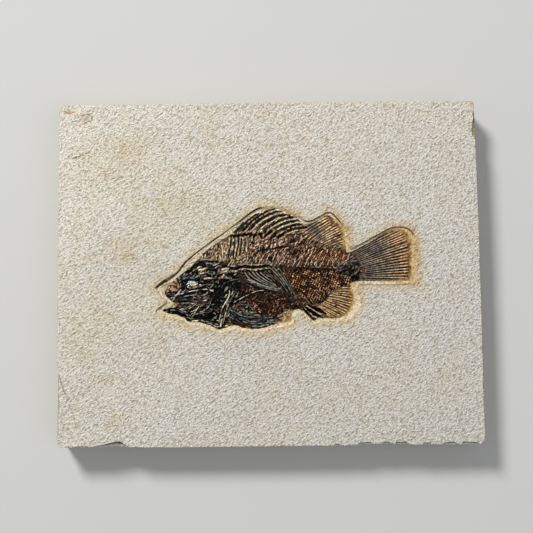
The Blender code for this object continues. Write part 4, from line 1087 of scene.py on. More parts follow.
def lay_flesh(canvas):
    """Skin, muscle and crushed bone between the fins: zones of strands, then loose strokes."""
    pale, dark = shade(196, 178, 150), shade(12, 11, 11)
    lay_zone(canvas, [(-22, -32), (-31, -31), (-20, -18), (-10, -12), (16, -10), (20, -22), (0, -27),
                      (-16, -30)],
             shade(60, 46, 34), shade(170, 146, 108), 20, 2.0, 0.6, 0.05, 190)
    for zone, base, strand, angle, length, width, amount, seed, fade in (
            ("upper_flank", shade(70, 48, 37), shade(164, 136, 110), 56, 3.0, 0.8, 0.1, 120, 0.9),
            ("muscle_cast", shade(124, 92, 72), shade(204, 174, 146), 35, 2.4, 0.9, 0.2, 124, 0.9),
            ("rear_flank", shade(46, 31, 23), shade(120, 80, 50), 50, 1.6, 0.9, 0.0, 128, 0.9),
            ("tail_stem", shade(70, 46, 31), shade(138, 92, 58), 60, 2.0, 0.8, 0.1, 132, 0.9),
            ("belly", shade(54, 36, 28), shade(112, 76, 56), 50, 1.0, 0.7, -0.1, 136, 0.9),
            ("rib_cage", shade(38, 28, 24), shade(110, 100, 86), -38, 4.0, 0.6, 0.0, 140, 0.9),
            ("nape", shade(122, 96, 72), shade(188, 166, 134), 80, 2.6, 0.7, 0.15, 144, 0.9),
            ("pelvic_fin_tip", shade(146, 116, 78), shade(200, 172, 128), 20, 2.5, 0.6, 0.2, 148, 0.9),
            ("pelvic_fin", shade(34, 32, 30), shade(118, 117, 112), -14, 4, 0.6, 0.1, 152, 0.9),
            ("skull", shade(15, 14, 13), shade(104, 98, 86), 20, 3.4, 0.8, -0.05, 156, 0.9),
            ("snout", shade(162, 132, 104), shade(198, 172, 140), 30, 1.4, 0.5, 0.1, 160, 0.6),
            ("cheek", shade(58, 46, 38), shade(150, 116, 84), 8, 2.6, 0.6, 0.1, 164, 0.9),
            ("throat", shade(12, 11, 10), shade(120, 110, 92), -12, 2.8, 0.8, -0.15, 168, 0.9),
            ("mouth_lining", shade(190, 164, 122), shade(226, 212, 178), 25, 1.6, 0.5, 0.2, 172, 0.5),
            ("gill_cover", shade(7, 7, 7), shade(80, 78, 70), 66, 2.0, 0.8, -0.1, 176, 0.9)):
        lay_zone(canvas, ZONES[zone], base, strand, angle, length, width, amount, seed, fade)
    for zone, count, length, angle, spread, half_width, colour, edge in (
            ("upper_flank", 90, 2.4, 56, 18, 0.26, shade(176, 150, 122), dark),
            ("upper_flank", 80, 1.8, 60, 24, 0.32, shade(128, 76, 46), dark),
            ("muscle_cast", 34, 1.8, 30, 30, 0.42, shade(200, 172, 150), shade(60, 40, 32)),
            ("muscle_cast", 40, 2.4, 45, 24, 0.42, dark, None),
            ("nape", 30, 2.6, 82, 14, 0.24, shade(206, 186, 154), shade(60, 44, 34)),
            ("nape", 26, 2.2, 76, 30, 0.26, shade(40, 32, 27), None),
            ("gill_cover", 46, 1.5, 60, 40, 0.26, shade(96, 94, 86), dark),
            ("throat", 26, 2.8, -12, 22, 0.26, shade(150, 140, 118), dark),
            ("belly", 70, 1.3, 50, 70, 0.2, shade(138, 102, 76), dark),
            ("belly", 90, 2.0, 40, 60, 0.30, shade(20, 14, 12), None),
            ("belly", 30, 1.7, 30, 70, 0.24, shade(112, 66, 42), None),
            ("belly", 16, 1.3, 30, 70, 0.26, shade(142, 112, 80), None),
            ("rib_cage", 34, 2.6, -40, 12, 0.2, shade(110, 100, 86), shade(18, 15, 14)),
            ("pelvic_fin", 60, 3.2, -12, 14, 0.26, shade(128, 128, 122), dark),
            ("tail_stem", 30, 2.4, 60, 10, 0.22, pale, dark),
            ("snout", 34, 1.3, 40, 50, 0.26, shade(72, 50, 38), None)):
        scatter_strokes(canvas, ZONES[zone], count, length, angle, spread, half_width, 0.12, colour,
                        len(zone) * 31 + count, edge=edge, strength=0.85)
    for number, (loop, count, length, angle, spread) in enumerate(HEAD_GRAIN):
        for share, half_width, colour, edge in ((0.6, 0.27, shade(168, 160, 140), dark),
                                                (0.5, 0.30, shade(104, 104, 100), dark),
                                                (0.12, 0.32, shade(170, 138, 108), dark),
                                                (0.8, 0.55, BLACK_BONE, None)):
            scatter_strokes(canvas, loop, int(count * share), length, angle, spread, half_width, 0.14, colour,
                            500 + number * 10 + int(share * 10), edge=edge, strength=0.9)


def lay_scales(canvas):
    """Small spots in crossed slanting rows over the rear flank and the tail stem, warm against the dark
    skin."""
    here = places_near(canvas, ZONES["rear_flank"] + ZONES["tail_stem"], 1)
    x, y = canvas["x"][here], canvas["y"][here]
    sway = lattice_noise(x, y, 3.5, 210)
    u = x * 0.86 + y * 0.5 + sway * 0.7 + 0.35 * lattice_noise(x, y, 1.5, 213)
    v = y * 0.9 - x * 0.35 + sway * 0.6 + 0.35 * lattice_noise(x, y, 1.6, 214)
    spots = np.cos(u * 2 * math.pi / 1.75) * np.cos(v * 2 * math.pi / 1.55) + 0.7 * lattice_noise(x, y,
                                                                                                  1.2, 211)
    rear = ease(distance_inside(x, y, smooth_loop(ZONES["rear_flank"], 4)), -0.5, 2)
    stem = ease(distance_inside(x, y, smooth_loop(ZONES["tail_stem"], 4)), -0.5, 1.5)
    warm = ease(lattice_noise(x, y, 4, 212), -0.6, 0.5)
    set_colour(canvas, rear * ease(spots, 0.3, 0.8) * (0.35 + 0.5 * warm), shade(150, 92, 50), here)
    set_colour(canvas, rear * ease(spots, 0.8, 1.2) * 0.7, shade(196, 168, 132), here)
    set_colour(canvas, rear * ease(-spots, 0.25, 0.8) * 0.8, shade(18, 14, 12), here)
    set_colour(canvas, stem * ease(spots, 0.4, 0.9) * 0.5, shade(160, 92, 46), here)
    canvas["height"][here] += rear * np.clip(spots, -0.5, 1) * 0.08


def lay_trunk_bones(canvas):
    """Backbone, its upper and lower spines, ribs, fin bearers and the pelvic bones."""
    # Dark painted shade for the grooves beside the bones
    groove = shade(16, 13, 12)
    upper = row_of_lines([(-14, 5.2), (6, 4.6), (24, 3.2), (41, 2.8)],
                         [(-10.8, 11), (9.4, 11), (28.3, 9.8), (44.5, 7.4)],
                         19, 0.35, 401, 0.35)
    lay_bones(canvas, upper, 0.28, 0.24, shade(162, 146, 122), edge=groove, taper=(1.1, 0.6),
              strength=0.85, wear=1.1)
    lay_bones(canvas, [np.array(line) + (1.2, 0.2) for line in upper[8:]], 0.32, 0.1, shade(132, 82, 50),
              edge=groove,
              taper=(1.1, 0.6), strength=0.5, wear=1.2)
    lower = row_of_lines([(11, 1.6), (40, 0.4)], [(21, -11), (44.5, -5)], 11, -0.5, 402, 0.3)
    lay_bones(canvas, lower, 0.22, 0.12, shade(110, 82, 60), edge=groove, taper=(1.0, 0.5), strength=0.5)
    bearers = row_of_lines([(22, 15.2), (38, 9.8)], [(26, 19.4), (41, 13)], 9, 0.2, 403, 0.3)
    lay_bones(canvas, bearers, 0.25, 0.12, shade(150, 134, 108), edge=groove, taper=(1.0, 0.5), strength=0.6)
    low_bearers = row_of_lines([(18.5, -12.5), (35, -6.5)], [(23, -18.6), (39.5, -9.4)], 12, 0.0, 404, 0.4)
    lay_bones(canvas, low_bearers, 0.2, 0.12, shade(150, 132, 104), edge=groove, taper=(1.0, 0.7),
              strength=0.45,
              wear=1.0)
    lay_bones(canvas, PREDORSAL_BONES, 0.62, 0.32, BLACK_BONE, shine=shade(70, 70, 66), taper=(1.0, 0.8),
              wear=0.15)
    lay_bones(canvas, [np.array(line) + (0.75, 0) for line in PREDORSAL_BONES], 0.24, 0.2,
              shade(132, 126, 108),
              taper=(1.0, 0.8), strength=0.75)
    lay_bones(canvas, SPINE_BEARERS, 1.1, 0.35, BLACK_BONE, edge=shade(150, 124, 96), taper=(1.0, 0.7),
              wear=0.1)
    knots = [[np.array(place) - (0.8, 0.5), np.array(place) + (0.8, 0.8)] for place in DORSAL_KNOTS]
    lay_bones(canvas, knots, 0.85, 0.35, BLACK_BONE, taper=(1.0, 0.8), wear=0.2)
    lay_bones(canvas, MIDLINE_SCAR, 0.8, 0.12, shade(16, 13, 12), taper=(0.8, 1.3), strength=0.9)
    lay_bones(canvas, VERTEBRAE_TOP, 0.55, 0.26, shade(96, 86, 72), edge=groove, taper=(1.3, 0.6),
              strength=0.8, wear=1.2)
    joints = row_of_lines([(-24, 3.6), (6, 3.2), (41, 1.6)], [(-22.2, 6.4), (7.6, 6.0), (42.4, 3.8)], 34,
                          0.1, 405, 0.35)
    lay_bones(canvas, joints, 0.32, 0.2, shade(168, 156, 132), edge=groove, taper=(1.0, 0.6), strength=0.7,
              wear=1.0)
    lay_bones(canvas, VERTEBRAE_UNDERSIDE[:1], 1.05, 0.4, BLACK_BONE, edge=shade(150, 136, 112),
              taper=(0.9, 0.8), wear=0.2)
    scatter_strokes(canvas, [(-22, 0.5), (1, 1.5), (1, 4.2), (-22, 3.8)], 30, 2.2, 12, 30, 0.42, 0.2,
                    BLACK_BONE, 408)
    lay_bones(canvas, [VERTEBRAE_UNDERSIDE[1][3:]], 0.5, 0.25, shade(10, 9, 8), taper=(0.9, 1.1), wear=1.3)
    scatter_strokes(canvas, [(4, 0), (42, -1.6), (42, 2.6), (4, 4.2)], 40, 1.8, 10, 34, 0.36, 0.2,
                    BLACK_BONE, 412)
    grey_line = [np.array(VERTEBRAE_UNDERSIDE[1][3:]) + (0, 1.0)]
    lay_bones(canvas, grey_line, 0.3, 0.25, shade(136, 130, 114), edge=groove, taper=(0.8, 1.1), wear=1.4)
    lay_bones(canvas, TAIL_HUB, 1.4, 0.3, BLACK_BONE, shine=shade(70, 70, 68), taper=(0.7, 0.9))
    scatter_strokes(canvas, [(34, 5), (46, 6), (50, -1), (46, -4.5), (36, -1)], 40, 2.6, 28, 24, 0.24, 0.15,
                    shade(112, 108, 100), 407, edge=BLACK_BONE)
    scatter_strokes(canvas, [(36, 3), (46, 4), (51, 0), (48, -5), (38, -2)], 30, 2.2, 20, 30, 0.5, 0.15,
                    BLACK_BONE, 413)
    lay_bones(canvas, row_of_lines([(-2.4, 1.2), (8.2, 1.6)], [(4.6, -6.0), (13.4, -9.2)], 6, -0.5, 406,
                                   0.2), 0.22, 0.25,
              shade(104, 96, 82), edge=BLACK_BONE, taper=(1.0, 0.7), strength=0.8, wear=1.0)
    lay_bones(canvas, RIBS, 0.24, 0.3, shade(138, 132, 116), edge=BLACK_BONE, taper=(1.0, 0.7), strength=0.85)
    lay_bones(canvas, REAR_RIBS, 0.24, 0.22, shade(134, 126, 108), edge=BLACK_BONE, taper=(1.0, 0.6),
              strength=0.8)
    lay_bones(canvas, LONG_SPINE, 0.34, 0.45, shade(78, 78, 74), shine=shade(128, 128, 120), edge=BLACK_BONE,
              taper=(0.8, 1.0), wear=0.9)
    lay_bones(canvas, [np.array(LONG_SPINE[0]) + (-0.9, -0.5)], 0.2, 0.3, shade(124, 120, 108),
              edge=BLACK_BONE, wear=1.5)
    lay_bones(canvas, SHEEN_STREAK, 0.85, 0.3, shade(52, 53, 53), shine=shade(120, 119, 112),
              edge=shade(20, 17, 16),
              taper=(0.7, 1.0), strength=0.85)
    lay_bones(canvas, [np.array(SHEEN_STREAK[0]) + (0.3, 1.1)], 0.26, 0.3, shade(150, 148, 136),
              edge=BLACK_BONE)
    lay_bones(canvas, PELVIC_BONES, 0.55, 0.42, shade(30, 30, 30), shine=shade(186, 184, 170),
              edge=BLACK_BONE,
              taper=(1.0, 0.6))
    between = [(-18, -18), (-14, -15), (-7, -16), (-6, -22), (-13, -24), (-19, -22)]
    scatter_strokes(canvas, between, 26, 2.6, -25, 30, 0.3, 0.12, shade(110, 108, 100), 409, edge=BLACK_BONE)
    scatter_strokes(canvas, between, 12, 1.2, 20, 40, 0.34, 0.1, shade(150, 92, 54), 410, edge=BLACK_BONE)
    scatter_strokes(canvas, between, 16, 2.2, -30, 30, 0.45, 0.1, BLACK_BONE, 411)
    lay_bones(canvas, PELVIC_RAYS, 0.5, 0.3, shade(30, 30, 30), shine=shade(126, 128, 124), edge=BLACK_BONE,
              taper=(1.0, 0.7), strength=0.85)


def lay_head_bones(canvas):
    """Snout, jaws, eye, cheek, gill cover and throat."""
    lay_patch(canvas, HEAD["nape_dusky"], shade(130, 106, 88), fade=1.0, strength=0.35)
    lay_patch(canvas, HEAD["nape_dark"], shade(60, 50, 44), fade=0.8, strength=0.5)
    over_skull = [(-37, 10), (-33, 13.5), (-28, 15), (-26, 7), (-37, 6)]
    scatter_strokes(canvas, over_skull, 26, 1.8, 42, 26, 0.34, 0.15, shade(22, 18, 16), 422)
    scatter_strokes(canvas, over_skull, 16, 1.6, 60, 26, 0.24, 0.15, shade(176, 156, 128), 423,
                    edge=shade(50, 38, 30))
    lay_bones(canvas, HEAD["nape_cream"], 0.3, 0.2, shade(212, 196, 162), edge=shade(110, 84, 60))
    lay_bones(canvas, HEAD["nape_gold"], 0.6, 0.15, shade(178, 144, 104), taper=(1.0, 1.0), strength=0.75,
              wear=1.0)
    lay_bones(canvas, HEAD["nape_pale"], 0.42, 0.2, shade(180, 166, 138), taper=(1.0, 0.8), strength=0.8,
              wear=1.0)
    lay_bones(canvas, HEAD["nape_black"], 0.75, 0.2, BLACK_BONE, taper=(1.0, 1.0))
    lay_bones(canvas, HEAD["nape_grey"], 0.38, 0.25, shade(128, 126, 118), edge=BLACK_BONE, taper=(1.0, 0.7))
    lay_bones(canvas, [[(-38.6, 1.3), (-33.2, 2.4)], [(-37.5, -0.9), (-34.3, 0.2)],
                       [(-26.2, 1.7), (-21.8, 2.2)],
                       [(-26.7, -0.4), (-22.9, 0.6)]], 0.55, 0.2, shade(196, 178, 144), taper=(0.8, 1.0),
              wear=1.0)
    lay_patch(canvas, HEAD["brow_patch"], BLACK_BONE, height=0.1)
    lay_bones(canvas, HEAD["brow_lines"], 0.95, 0.35, BLACK_BONE, taper=(0.9, 0.8), wear=0.1)
    lay_bones(canvas, HEAD["brow_lines"], 0.26, 0.25, shade(112, 116, 116), taper=(0.9, 0.8), strength=0.8,
              wear=1.3)
    lay_patch(canvas, HEAD["eye_white"], shade(204, 204, 194), strength=0.95, height=0.1)
    lay_patch(canvas, HEAD["eye_gold"], shade(136, 116, 74), strength=0.85)
    lay_patch(canvas, HEAD["eye_blue"], shade(92, 100, 106), strength=0.8)
    scatter_strokes(canvas, EYE_SOCKET, 26, 1.7, -8, 24, 0.26, 0.1, BLACK_BONE, 420)
    scatter_strokes(canvas, EYE_SOCKET, 9, 1.4, 20, 40, 0.22, 0.1, shade(190, 186, 170), 421, edge=BLACK_BONE)
    lay_bones(canvas, HEAD["eye_black"], 0.7, 0.3, BLACK_BONE, taper=(1.0, 0.8), wear=0.1)
    lay_bones(canvas, HEAD["snout_specks"], 0.6, 0.1, shade(84, 50, 32), taper=(1.0, 0.8))
    lay_bones(canvas, PREMAXILLA, 1.5, 0.4, BLACK_BONE, shine=shade(84, 84, 82), taper=(1.1, 0.6), wear=0.1)
    lay_bones(canvas, HEAD["snout_grey"], 0.3, 0.3, shade(140, 140, 136), edge=BLACK_BONE, wear=1.4)
    lay_bones(canvas, HEAD["snout_white"], 0.34, 0.35, shade(196, 196, 186), edge=BLACK_BONE,
              taper=(1.0, 0.8))
    lay_bones(canvas, HEAD["under_eye_cream"], 0.3, 0.35, shade(190, 180, 152), edge=BLACK_BONE,
              taper=(0.9, 0.6),
              wear=1.5)
    lay_bones(canvas, [np.array(line) + (0.6, -0.9) for line in HEAD["under_eye_cream"]], 0.75, 0.2,
              BLACK_BONE,
              taper=(0.9, 0.6), wear=0.3)
    lay_bones(canvas, HEAD["cheek_grey"], 0.32, 0.3, shade(132, 132, 126), edge=BLACK_BONE,
              taper=(1.0, 0.7), wear=1.1)
    lay_bones(canvas, HEAD["cheek_orange"], 0.42, 0.2, shade(138, 112, 90), taper=(1.0, 0.8), strength=0.5,
              wear=1.2)
    lay_patch(canvas, HEAD["jaw_black"], BLACK_BONE, height=0.15)
    lay_bones(canvas, HEAD["jaw_grey"], 0.28, 0.25, shade(116, 118, 118), edge=BLACK_BONE, wear=1.2)
    lay_bones(canvas, HEAD["mouth_cream"], 0.6, 0.1, shade(224, 206, 166), taper=(1.0, 1.0))
    lay_bones(canvas, HEAD["mouth_gold"], 0.6, 0.1, shade(176, 140, 92), taper=(1.0, 0.8), wear=1.2)
    scatter_strokes(canvas, [(-55, -15.3), (-50, -15.3), (-47.5, -18), (-53, -18.8)], 12, 1.3, -10, 30,
                    0.24, 0.1,
                    shade(104, 62, 42), 425)
    snout_tip = [(-58, -9.5), (-55, -9), (-50, -12.5), (-51, -15.5), (-56, -14)]
    scatter_strokes(canvas, snout_tip, 18, 1.6, 20, 60, 0.4, 0.15, BLACK_BONE, 426)
    scatter_strokes(canvas, snout_tip, 9, 1.4, 30, 60, 0.17, 0.1, shade(178, 176, 166), 424, edge=BLACK_BONE)
    scatter_strokes(canvas, ZONES["snout"], 34, 1.2, 40, 60, 0.17, 0.05, shade(56, 38, 28), 427)
    scatter_strokes(canvas, ZONES["snout"], 10, 0.9, 40, 60, 0.2, 0.05, shade(206, 182, 150), 428)
    lay_bones(canvas, HEAD["preopercle_rear"], 0.28, 0.25, shade(108, 104, 88), edge=BLACK_BONE,
              strength=0.6, wear=1.7)
    lay_patch(canvas, HEAD["preopercle_black"], BLACK_BONE, height=0.1)
    lay_bones(canvas, HEAD["preopercle_white"], 0.5, 0.4, shade(50, 52, 52), shine=shade(176, 176, 166),
              edge=BLACK_BONE, taper=(0.9, 0.8), wear=0.8)
    lay_bones(canvas, HEAD["preopercle_grey"], 0.32, 0.25, shade(112, 112, 106), edge=BLACK_BONE, wear=1.1)
    lay_bones(canvas, HEAD["cleithrum_cream"], 0.36, 0.4, shade(190, 180, 146), edge=BLACK_BONE,
              taper=(0.8, 0.9),
              wear=0.9)
    lay_bones(canvas, HEAD["cleithrum_grey"], 0.38, 0.35, shade(130, 128, 114), edge=BLACK_BONE,
              taper=(1.0, 0.7),
              wear=1.0)
    lay_bones(canvas, HEAD["rust_spots"], 0.45, 0.1, shade(130, 76, 48))
    lay_bones(canvas, HEAD["isthmus_cream"], 0.5, 0.15, shade(212, 198, 164))
    lay_bones(canvas, HEAD["isthmus_orange"], 0.5, 0.1, shade(180, 118, 64))
    lay_patch(canvas, HEAD["belly_red"], shade(78, 34, 26), fade=0.8, strength=0.7)
    lay_bones(canvas, HEAD["belly_orange"], 0.5, 0.1, shade(168, 124, 84), strength=0.7, wear=1.0)


def blurred(field, reach):
    """Average a field of columns and rows over a box of 2 reach + 1 places each way."""
    for axis in (0, 1):
        pad = [(reach + 1, reach) if k == axis else (0, 0) for k in range(field.ndim)]
        total = np.cumsum(np.pad(field, pad, mode="edge"), axis=axis)
        size = field.shape[axis]
        field = (np.take(total, np.arange(size) + 2 * reach + 1, axis)
                 - np.take(total, np.arange(size), axis)) \
            / (2 * reach + 1)
    return field


def make_fish_stretch(name, outline, spine_x, lowest, highest, start, end, column_count, row_count):
    """Raise one stretch of the fish as a height field, closed by walls at its ends and a flat sheet below.

    Column by column the rows run between the outline's lowest and highest places, eased along the fish.
    Outside the
    outline the skin dives under the bed, so the bed's stone shows there.
    """
    step = (end - start) / (column_count - 1)
    columns = start + step * np.arange(-MARGIN_COLUMNS, column_count + MARGIN_COLUMNS)
    share = np.linspace(0, 1, row_count)
    low, high = np.interp(columns, spine_x, lowest), np.interp(columns, spine_x, highest)
    x = np.repeat(columns, row_count)
    y = (low[:, None] + (high - low)[:, None] * share).ravel()
    edge = distance_inside(x, y, outline) + 0.15 * lattice_noise(x, y, 1.2, 220)
    canvas = make_canvas(x, y, edge)
    fade_fin_margins(canvas, edge)
    fine = lattice_noise(x, y, 0.5, 201)
    canvas["tint"] *= (1 + 0.25 * fine + 0.12 * lattice_noise(x, y, 2.2, 202))[:, None]
    canvas["height"] += fine * 0.02
    set_colour(canvas, 1 - ease(edge, 0.0, 0.45), shade(160, 134, 92))

    shape = (len(columns), row_count)
    light = (canvas["tint"] @ LUMINANCE).reshape(shape) + 0.004
    contrast = np.clip(light / blurred(light, 7), 0.10, 2.6) ** CRISPNESS
    contrast *= np.clip(light / 0.12, 0.02, 1.15) ** DEPTH_OF_DARKS
    contrast = 1 + (contrast - 1) * ease(edge, -0.2, 1.4).reshape(shape)
    tint = canvas["tint"].reshape(*shape, 3) * contrast[:, :, None]
    inside = ease(edge, -0.45, 0.55)
    top = 0.14 + np.clip(canvas["height"], -0.05, 1.27)
    height = (SUNK + (top - SUNK) * inside).reshape(shape)

    keep = slice(MARGIN_COLUMNS, MARGIN_COLUMNS + column_count)
    x, y, height, tint, gloss = (a.reshape(*shape, -1)[keep].reshape(column_count * row_count, -1).squeeze()
                                 for a in (x, y, height, tint, canvas["gloss"]))
    grid = np.arange(column_count * row_count).reshape(column_count, row_count)
    border = np.concatenate([grid[0, ::-1], grid[1:, 0], grid[-1, 1:], grid[-2:0:-1, -1]])
    height[np.concatenate([grid[:, 0], grid[:, -1]])] = SUNK
    skin = np.column_stack([x, y, FLOOR_Z / MM + height]) * MM
    sheet = np.column_stack([x[border], y[border], np.full(len(border), FLOOR_Z / MM + SUNK - 0.02)]) * MM
    below = len(skin) + np.arange(len(border))
    walls = np.stack([border, below, np.roll(below, -1), np.roll(border, -1)], 1)
    quads = np.stack([grid[:-1, :-1], grid[1:, :-1], grid[1:, 1:], grid[:-1, 1:]], 2).reshape(-1, 4)
    piece = make_piece(name, np.vstack([skin, sheet]), np.vstack([quads, walls]), [below[::-1]],
                       np.clip(np.vstack([tint, tint[border]]), 0, 1),
                       {"gloss": np.append(gloss, gloss[border])})
    ends = np.zeros(len(piece.data.polygons), bool)
    ends[len(quads):] = True
    mark_creases(piece.data, ends)
    return piece


def mark_creases(mesh, apart):
    """Keep shading sharp between the marked faces and the rest."""
    corners = np.zeros(len(mesh.loops), np.int32)
    mesh.loops.foreach_get("edge_index", corners)
    sizes = np.zeros(len(mesh.polygons), np.int32)
    mesh.polygons.foreach_get("loop_total", sizes)
    marked = np.repeat(apart, sizes)
    crease = np.bincount(corners, marked, len(mesh.edges)) == 1
    sharp = mesh.attributes.new("sharp_edge", "BOOLEAN", "EDGE")
    sharp.data.foreach_set("value", crease)


def make_fish():
    """Make the fish from its stretches, which share their end columns."""
    outline = np.vstack([smooth_line(stretch, 6) for stretch in FISH_OUTLINE])
    spine_x = np.linspace(outline[:, 0].min() - 0.5, outline[:, 0].max() + 0.5, 552)
    dense = np.vstack([outline, outline[:1]])
    dense = np.vstack([np.linspace(a, b, 12) for a, b in zip(dense, dense[1:])])
    window = np.abs(spine_x[:, None] - dense[None, :, 0]) < 1.3
    kernel = np.ones(7) / 7
    lowest = np.convolve(np.pad(np.min(np.where(window, dense[None, :, 1], 99), axis=1), 3, mode="edge"),
                         kernel, "valid")
    highest = np.convolve(np.pad(np.max(np.where(window, dense[None, :, 1], -99), axis=1), 3, mode="edge"),
                          kernel, "valid")
    return [make_fish_stretch(name, outline, spine_x, lowest - 0.6, highest + 0.6,
                              spine_x[0] if start is None else start, spine_x[-1] if end is None else end,
                              columns, rows)
            for name, (start, end, columns, rows) in FISH_STRETCHES.items()]


# ---------------------------------------------------------------------------------------------- materials


class Nodes:
    """Short calls for wiring a material's nodes."""

    def __init__(self, name):
        self.material = bpy.data.materials.new(name)
        self.material.use_nodes = True
        self.tree = self.material.node_tree
        self.shader = self.tree.nodes["Principled BSDF"]
        self.place = self.add("ShaderNodeTexCoord").outputs["Object"]

    def add(self, kind, **settings):
        """Add a node and set its settings."""
        node = self.tree.nodes.new(kind)
        for key, value in settings.items():
            setattr(node, key, value)
        return node

    def wire(self, source, target):
        """Join an output to an input."""
        self.tree.links.new(source, target)

    def noise(self, size, detail=2.0, roughness=0.5, place=None):
        """Noise whose features are about size metres apart."""
        node = self.add("ShaderNodeTexNoise")
        node.inputs["Scale"].default_value = 1.0 / size
        node.inputs["Detail"].default_value = detail
        node.inputs["Roughness"].default_value = roughness
        self.wire(place or self.place, node.inputs["Vector"])
        return node.outputs["Fac"]

    def drawn_out(self, degrees, along, across):
        """Places turned by an angle and divided by two factors, so that a pattern on them is drawn out
        that way."""
        node = self.add("ShaderNodeMapping", vector_type="TEXTURE")
        node.inputs["Rotation"].default_value = (0.0, 0.0, math.radians(degrees))
        node.inputs["Scale"].default_value = (along, across, 1.0)
        self.wire(self.place, node.inputs["Vector"])
        return node.outputs["Vector"]

    def spread(self, source, low, high, to_low=0.0, to_high=1.0):
        """Map a range of values to another, smoothly."""
        node = self.add("ShaderNodeMapRange", interpolation_type="SMOOTHSTEP")
        for key, value in (("From Min", low), ("From Max", high), ("To Min", to_low), ("To Max", to_high)):
            node.inputs[key].default_value = value
        self.wire(source, node.inputs["Value"])
        return node.outputs["Result"]

    def attribute(self, name, output="Color"):
        """Read one of the mesh's point attributes."""
        return self.add("ShaderNodeAttribute", attribute_name=name).outputs[output]

    def tinted(self, base, share, colour, blend="MIX"):
        """Mix a colour over a base by a share."""
        node = self.add("ShaderNodeMix", data_type="RGBA", blend_type=blend)
        self.wire(share, node.inputs["Factor"])
        self.wire(base, node.inputs["A"])
        if isinstance(colour, np.ndarray):
            node.inputs["B"].default_value = (*colour, 1.0)
        else:
            self.wire(colour, node.inputs["B"])
        return node.outputs["Result"]

    def bumped(self, height, distance, strength, below=None):
        """Bump the surface by a height, over an earlier bump."""
        node = self.add("ShaderNodeBump")
        node.inputs["Distance"].default_value = distance
        node.inputs["Strength"].default_value = strength
        self.wire(height, node.inputs["Height"])
        if below is not None:
            self.wire(below, node.inputs["Normal"])
        return node.outputs["Normal"]


def scratch_mask(nodes, start, end, half_width):
    """1 on a straight scratch between two places and 0 away from it, ragged by noise.

    The place's share along the scratch is a dot product clamped to 0 to 1; the mask falls with the
    distance left over.
    """
    half_width *= MM
    reach = np.array([end[0] - start[0], end[1] - start[1], 0.0]) * MM
    start = np.array([start[0] * MM, start[1] * MM, FACE_Z])

    def vector(operation, a, b=None):
        node = nodes.add("ShaderNodeVectorMath", operation=operation)
        for socket, value in zip(node.inputs, (a, b)):
            if value is not None and not isinstance(value, np.ndarray):
                nodes.wire(value, socket)
            elif value is not None:
                socket.default_value = value
        return node.outputs

    away = vector("SUBTRACT", nodes.place, start)["Vector"]
    share = nodes.add("ShaderNodeMath", operation="MULTIPLY", use_clamp=True)
    nodes.wire(vector("DOT_PRODUCT", away, reach)["Value"], share.inputs[0])
    share.inputs[1].default_value = 1 / float(reach @ reach)
    nearest = vector("SCALE", reach)
    nodes.wire(share.outputs[0], nearest[0].node.inputs["Scale"])
    gap = vector("LENGTH", vector("SUBTRACT", away, nearest["Vector"])["Vector"])["Value"]
    ragged = nodes.add("ShaderNodeMath", operation="MULTIPLY_ADD")
    nodes.wire(nodes.noise(0.0012, 1.0), ragged.inputs[0])
    ragged.inputs[1].default_value = half_width * 3
    nodes.wire(gap, ragged.inputs[2])
    return nodes.spread(ragged.outputs[0], half_width * 2.6, half_width * 1.4)


def make_limestone():
    """Fine-grained limestone: pebbled grain about 1.6 and 0.9 mm across, with painted shade in its pits and a
    painted highlight on its finer crests, and with tan specks."""
    stone = Nodes("limestone")
    slanting = stone.drawn_out(38, 1.25, 0.97)
    broad, fine = stone.noise(0.0016, 1.0, 0.5, slanting), stone.noise(0.0009, 1.0, 0.5, slanting)
    colour = stone.attribute("tint")
    # Painted shade in the grain's pits and painted highlight on its finer crests, following the bumps below
    colour = stone.tinted(colour, stone.spread(broad, 0.52, 0.30), np.array([0.74, 0.71, 0.63]), "MULTIPLY")
    colour = stone.tinted(colour, stone.spread(fine, 0.50, 0.70), np.array([1.26, 1.26, 1.27]), "MULTIPLY")
    colour = stone.tinted(colour, stone.spread(fine, 0.52, 0.30), np.array([0.76, 0.73, 0.66]), "MULTIPLY")
    colour = stone.tinted(colour, stone.spread(stone.noise(0.0024, 1.0), 0.58, 0.72, 0.0, 0.25),
                          shade(204, 182, 140))
    for places, steps in SCRATCHES:
        for start, end, (half_width, mark) in zip(places, places[1:], steps):
            colour = stone.tinted(colour, scratch_mask(stone, start, end, half_width), mark)
    stone.wire(colour, stone.shader.inputs["Base Color"])
    stone.shader.inputs["Roughness"].default_value = 0.92
    stone.shader.inputs["Specular IOR Level"].default_value = 0.25
    normal = stone.bumped(broad, 0.0009, 0.8)
    normal = stone.bumped(fine, 0.0009, 1.0, normal)
    stone.wire(normal, stone.shader.inputs["Normal"])
    return stone.material


def make_fossil_bone():
    """Dark fossil bone and skin: colours by place, a fine crackle, and bones glossier than the skin."""
    bone = Nodes("fossil_bone")
    crackle = bone.noise(0.0005, 2.0, 0.6)
    colour = bone.attribute("tint")
    colour = bone.tinted(colour, bone.spread(crackle, 0.50, 0.34, 0.0, 0.45), shade(10, 9, 8))
    colour = bone.tinted(colour, bone.spread(bone.noise(0.0007, 1.0), 0.58, 0.72),
                         np.array([1.7, 1.55, 1.4]), "MULTIPLY")
    bone.wire(colour, bone.shader.inputs["Base Color"])
    bone.wire(bone.spread(bone.attribute("gloss", "Fac"), 0.2, 0.9, 0.72, 0.36),
              bone.shader.inputs["Roughness"])
    bone.shader.inputs["Specular IOR Level"].default_value = 0.045
    bone.wire(bone.bumped(crackle, 0.00018, 0.6), bone.shader.inputs["Normal"])
    return bone.material


# The camera: its place, its turn and tip in degrees, and its focal length and frame in pixels
CAMERA_PLACE, CAMERA_TURN, CAMERA_TIP = (-0.00127, -0.04827, 0.56368), 0.62, -5.36
FOCAL_PIXELS, FRAME_PIXELS = 1000, 533
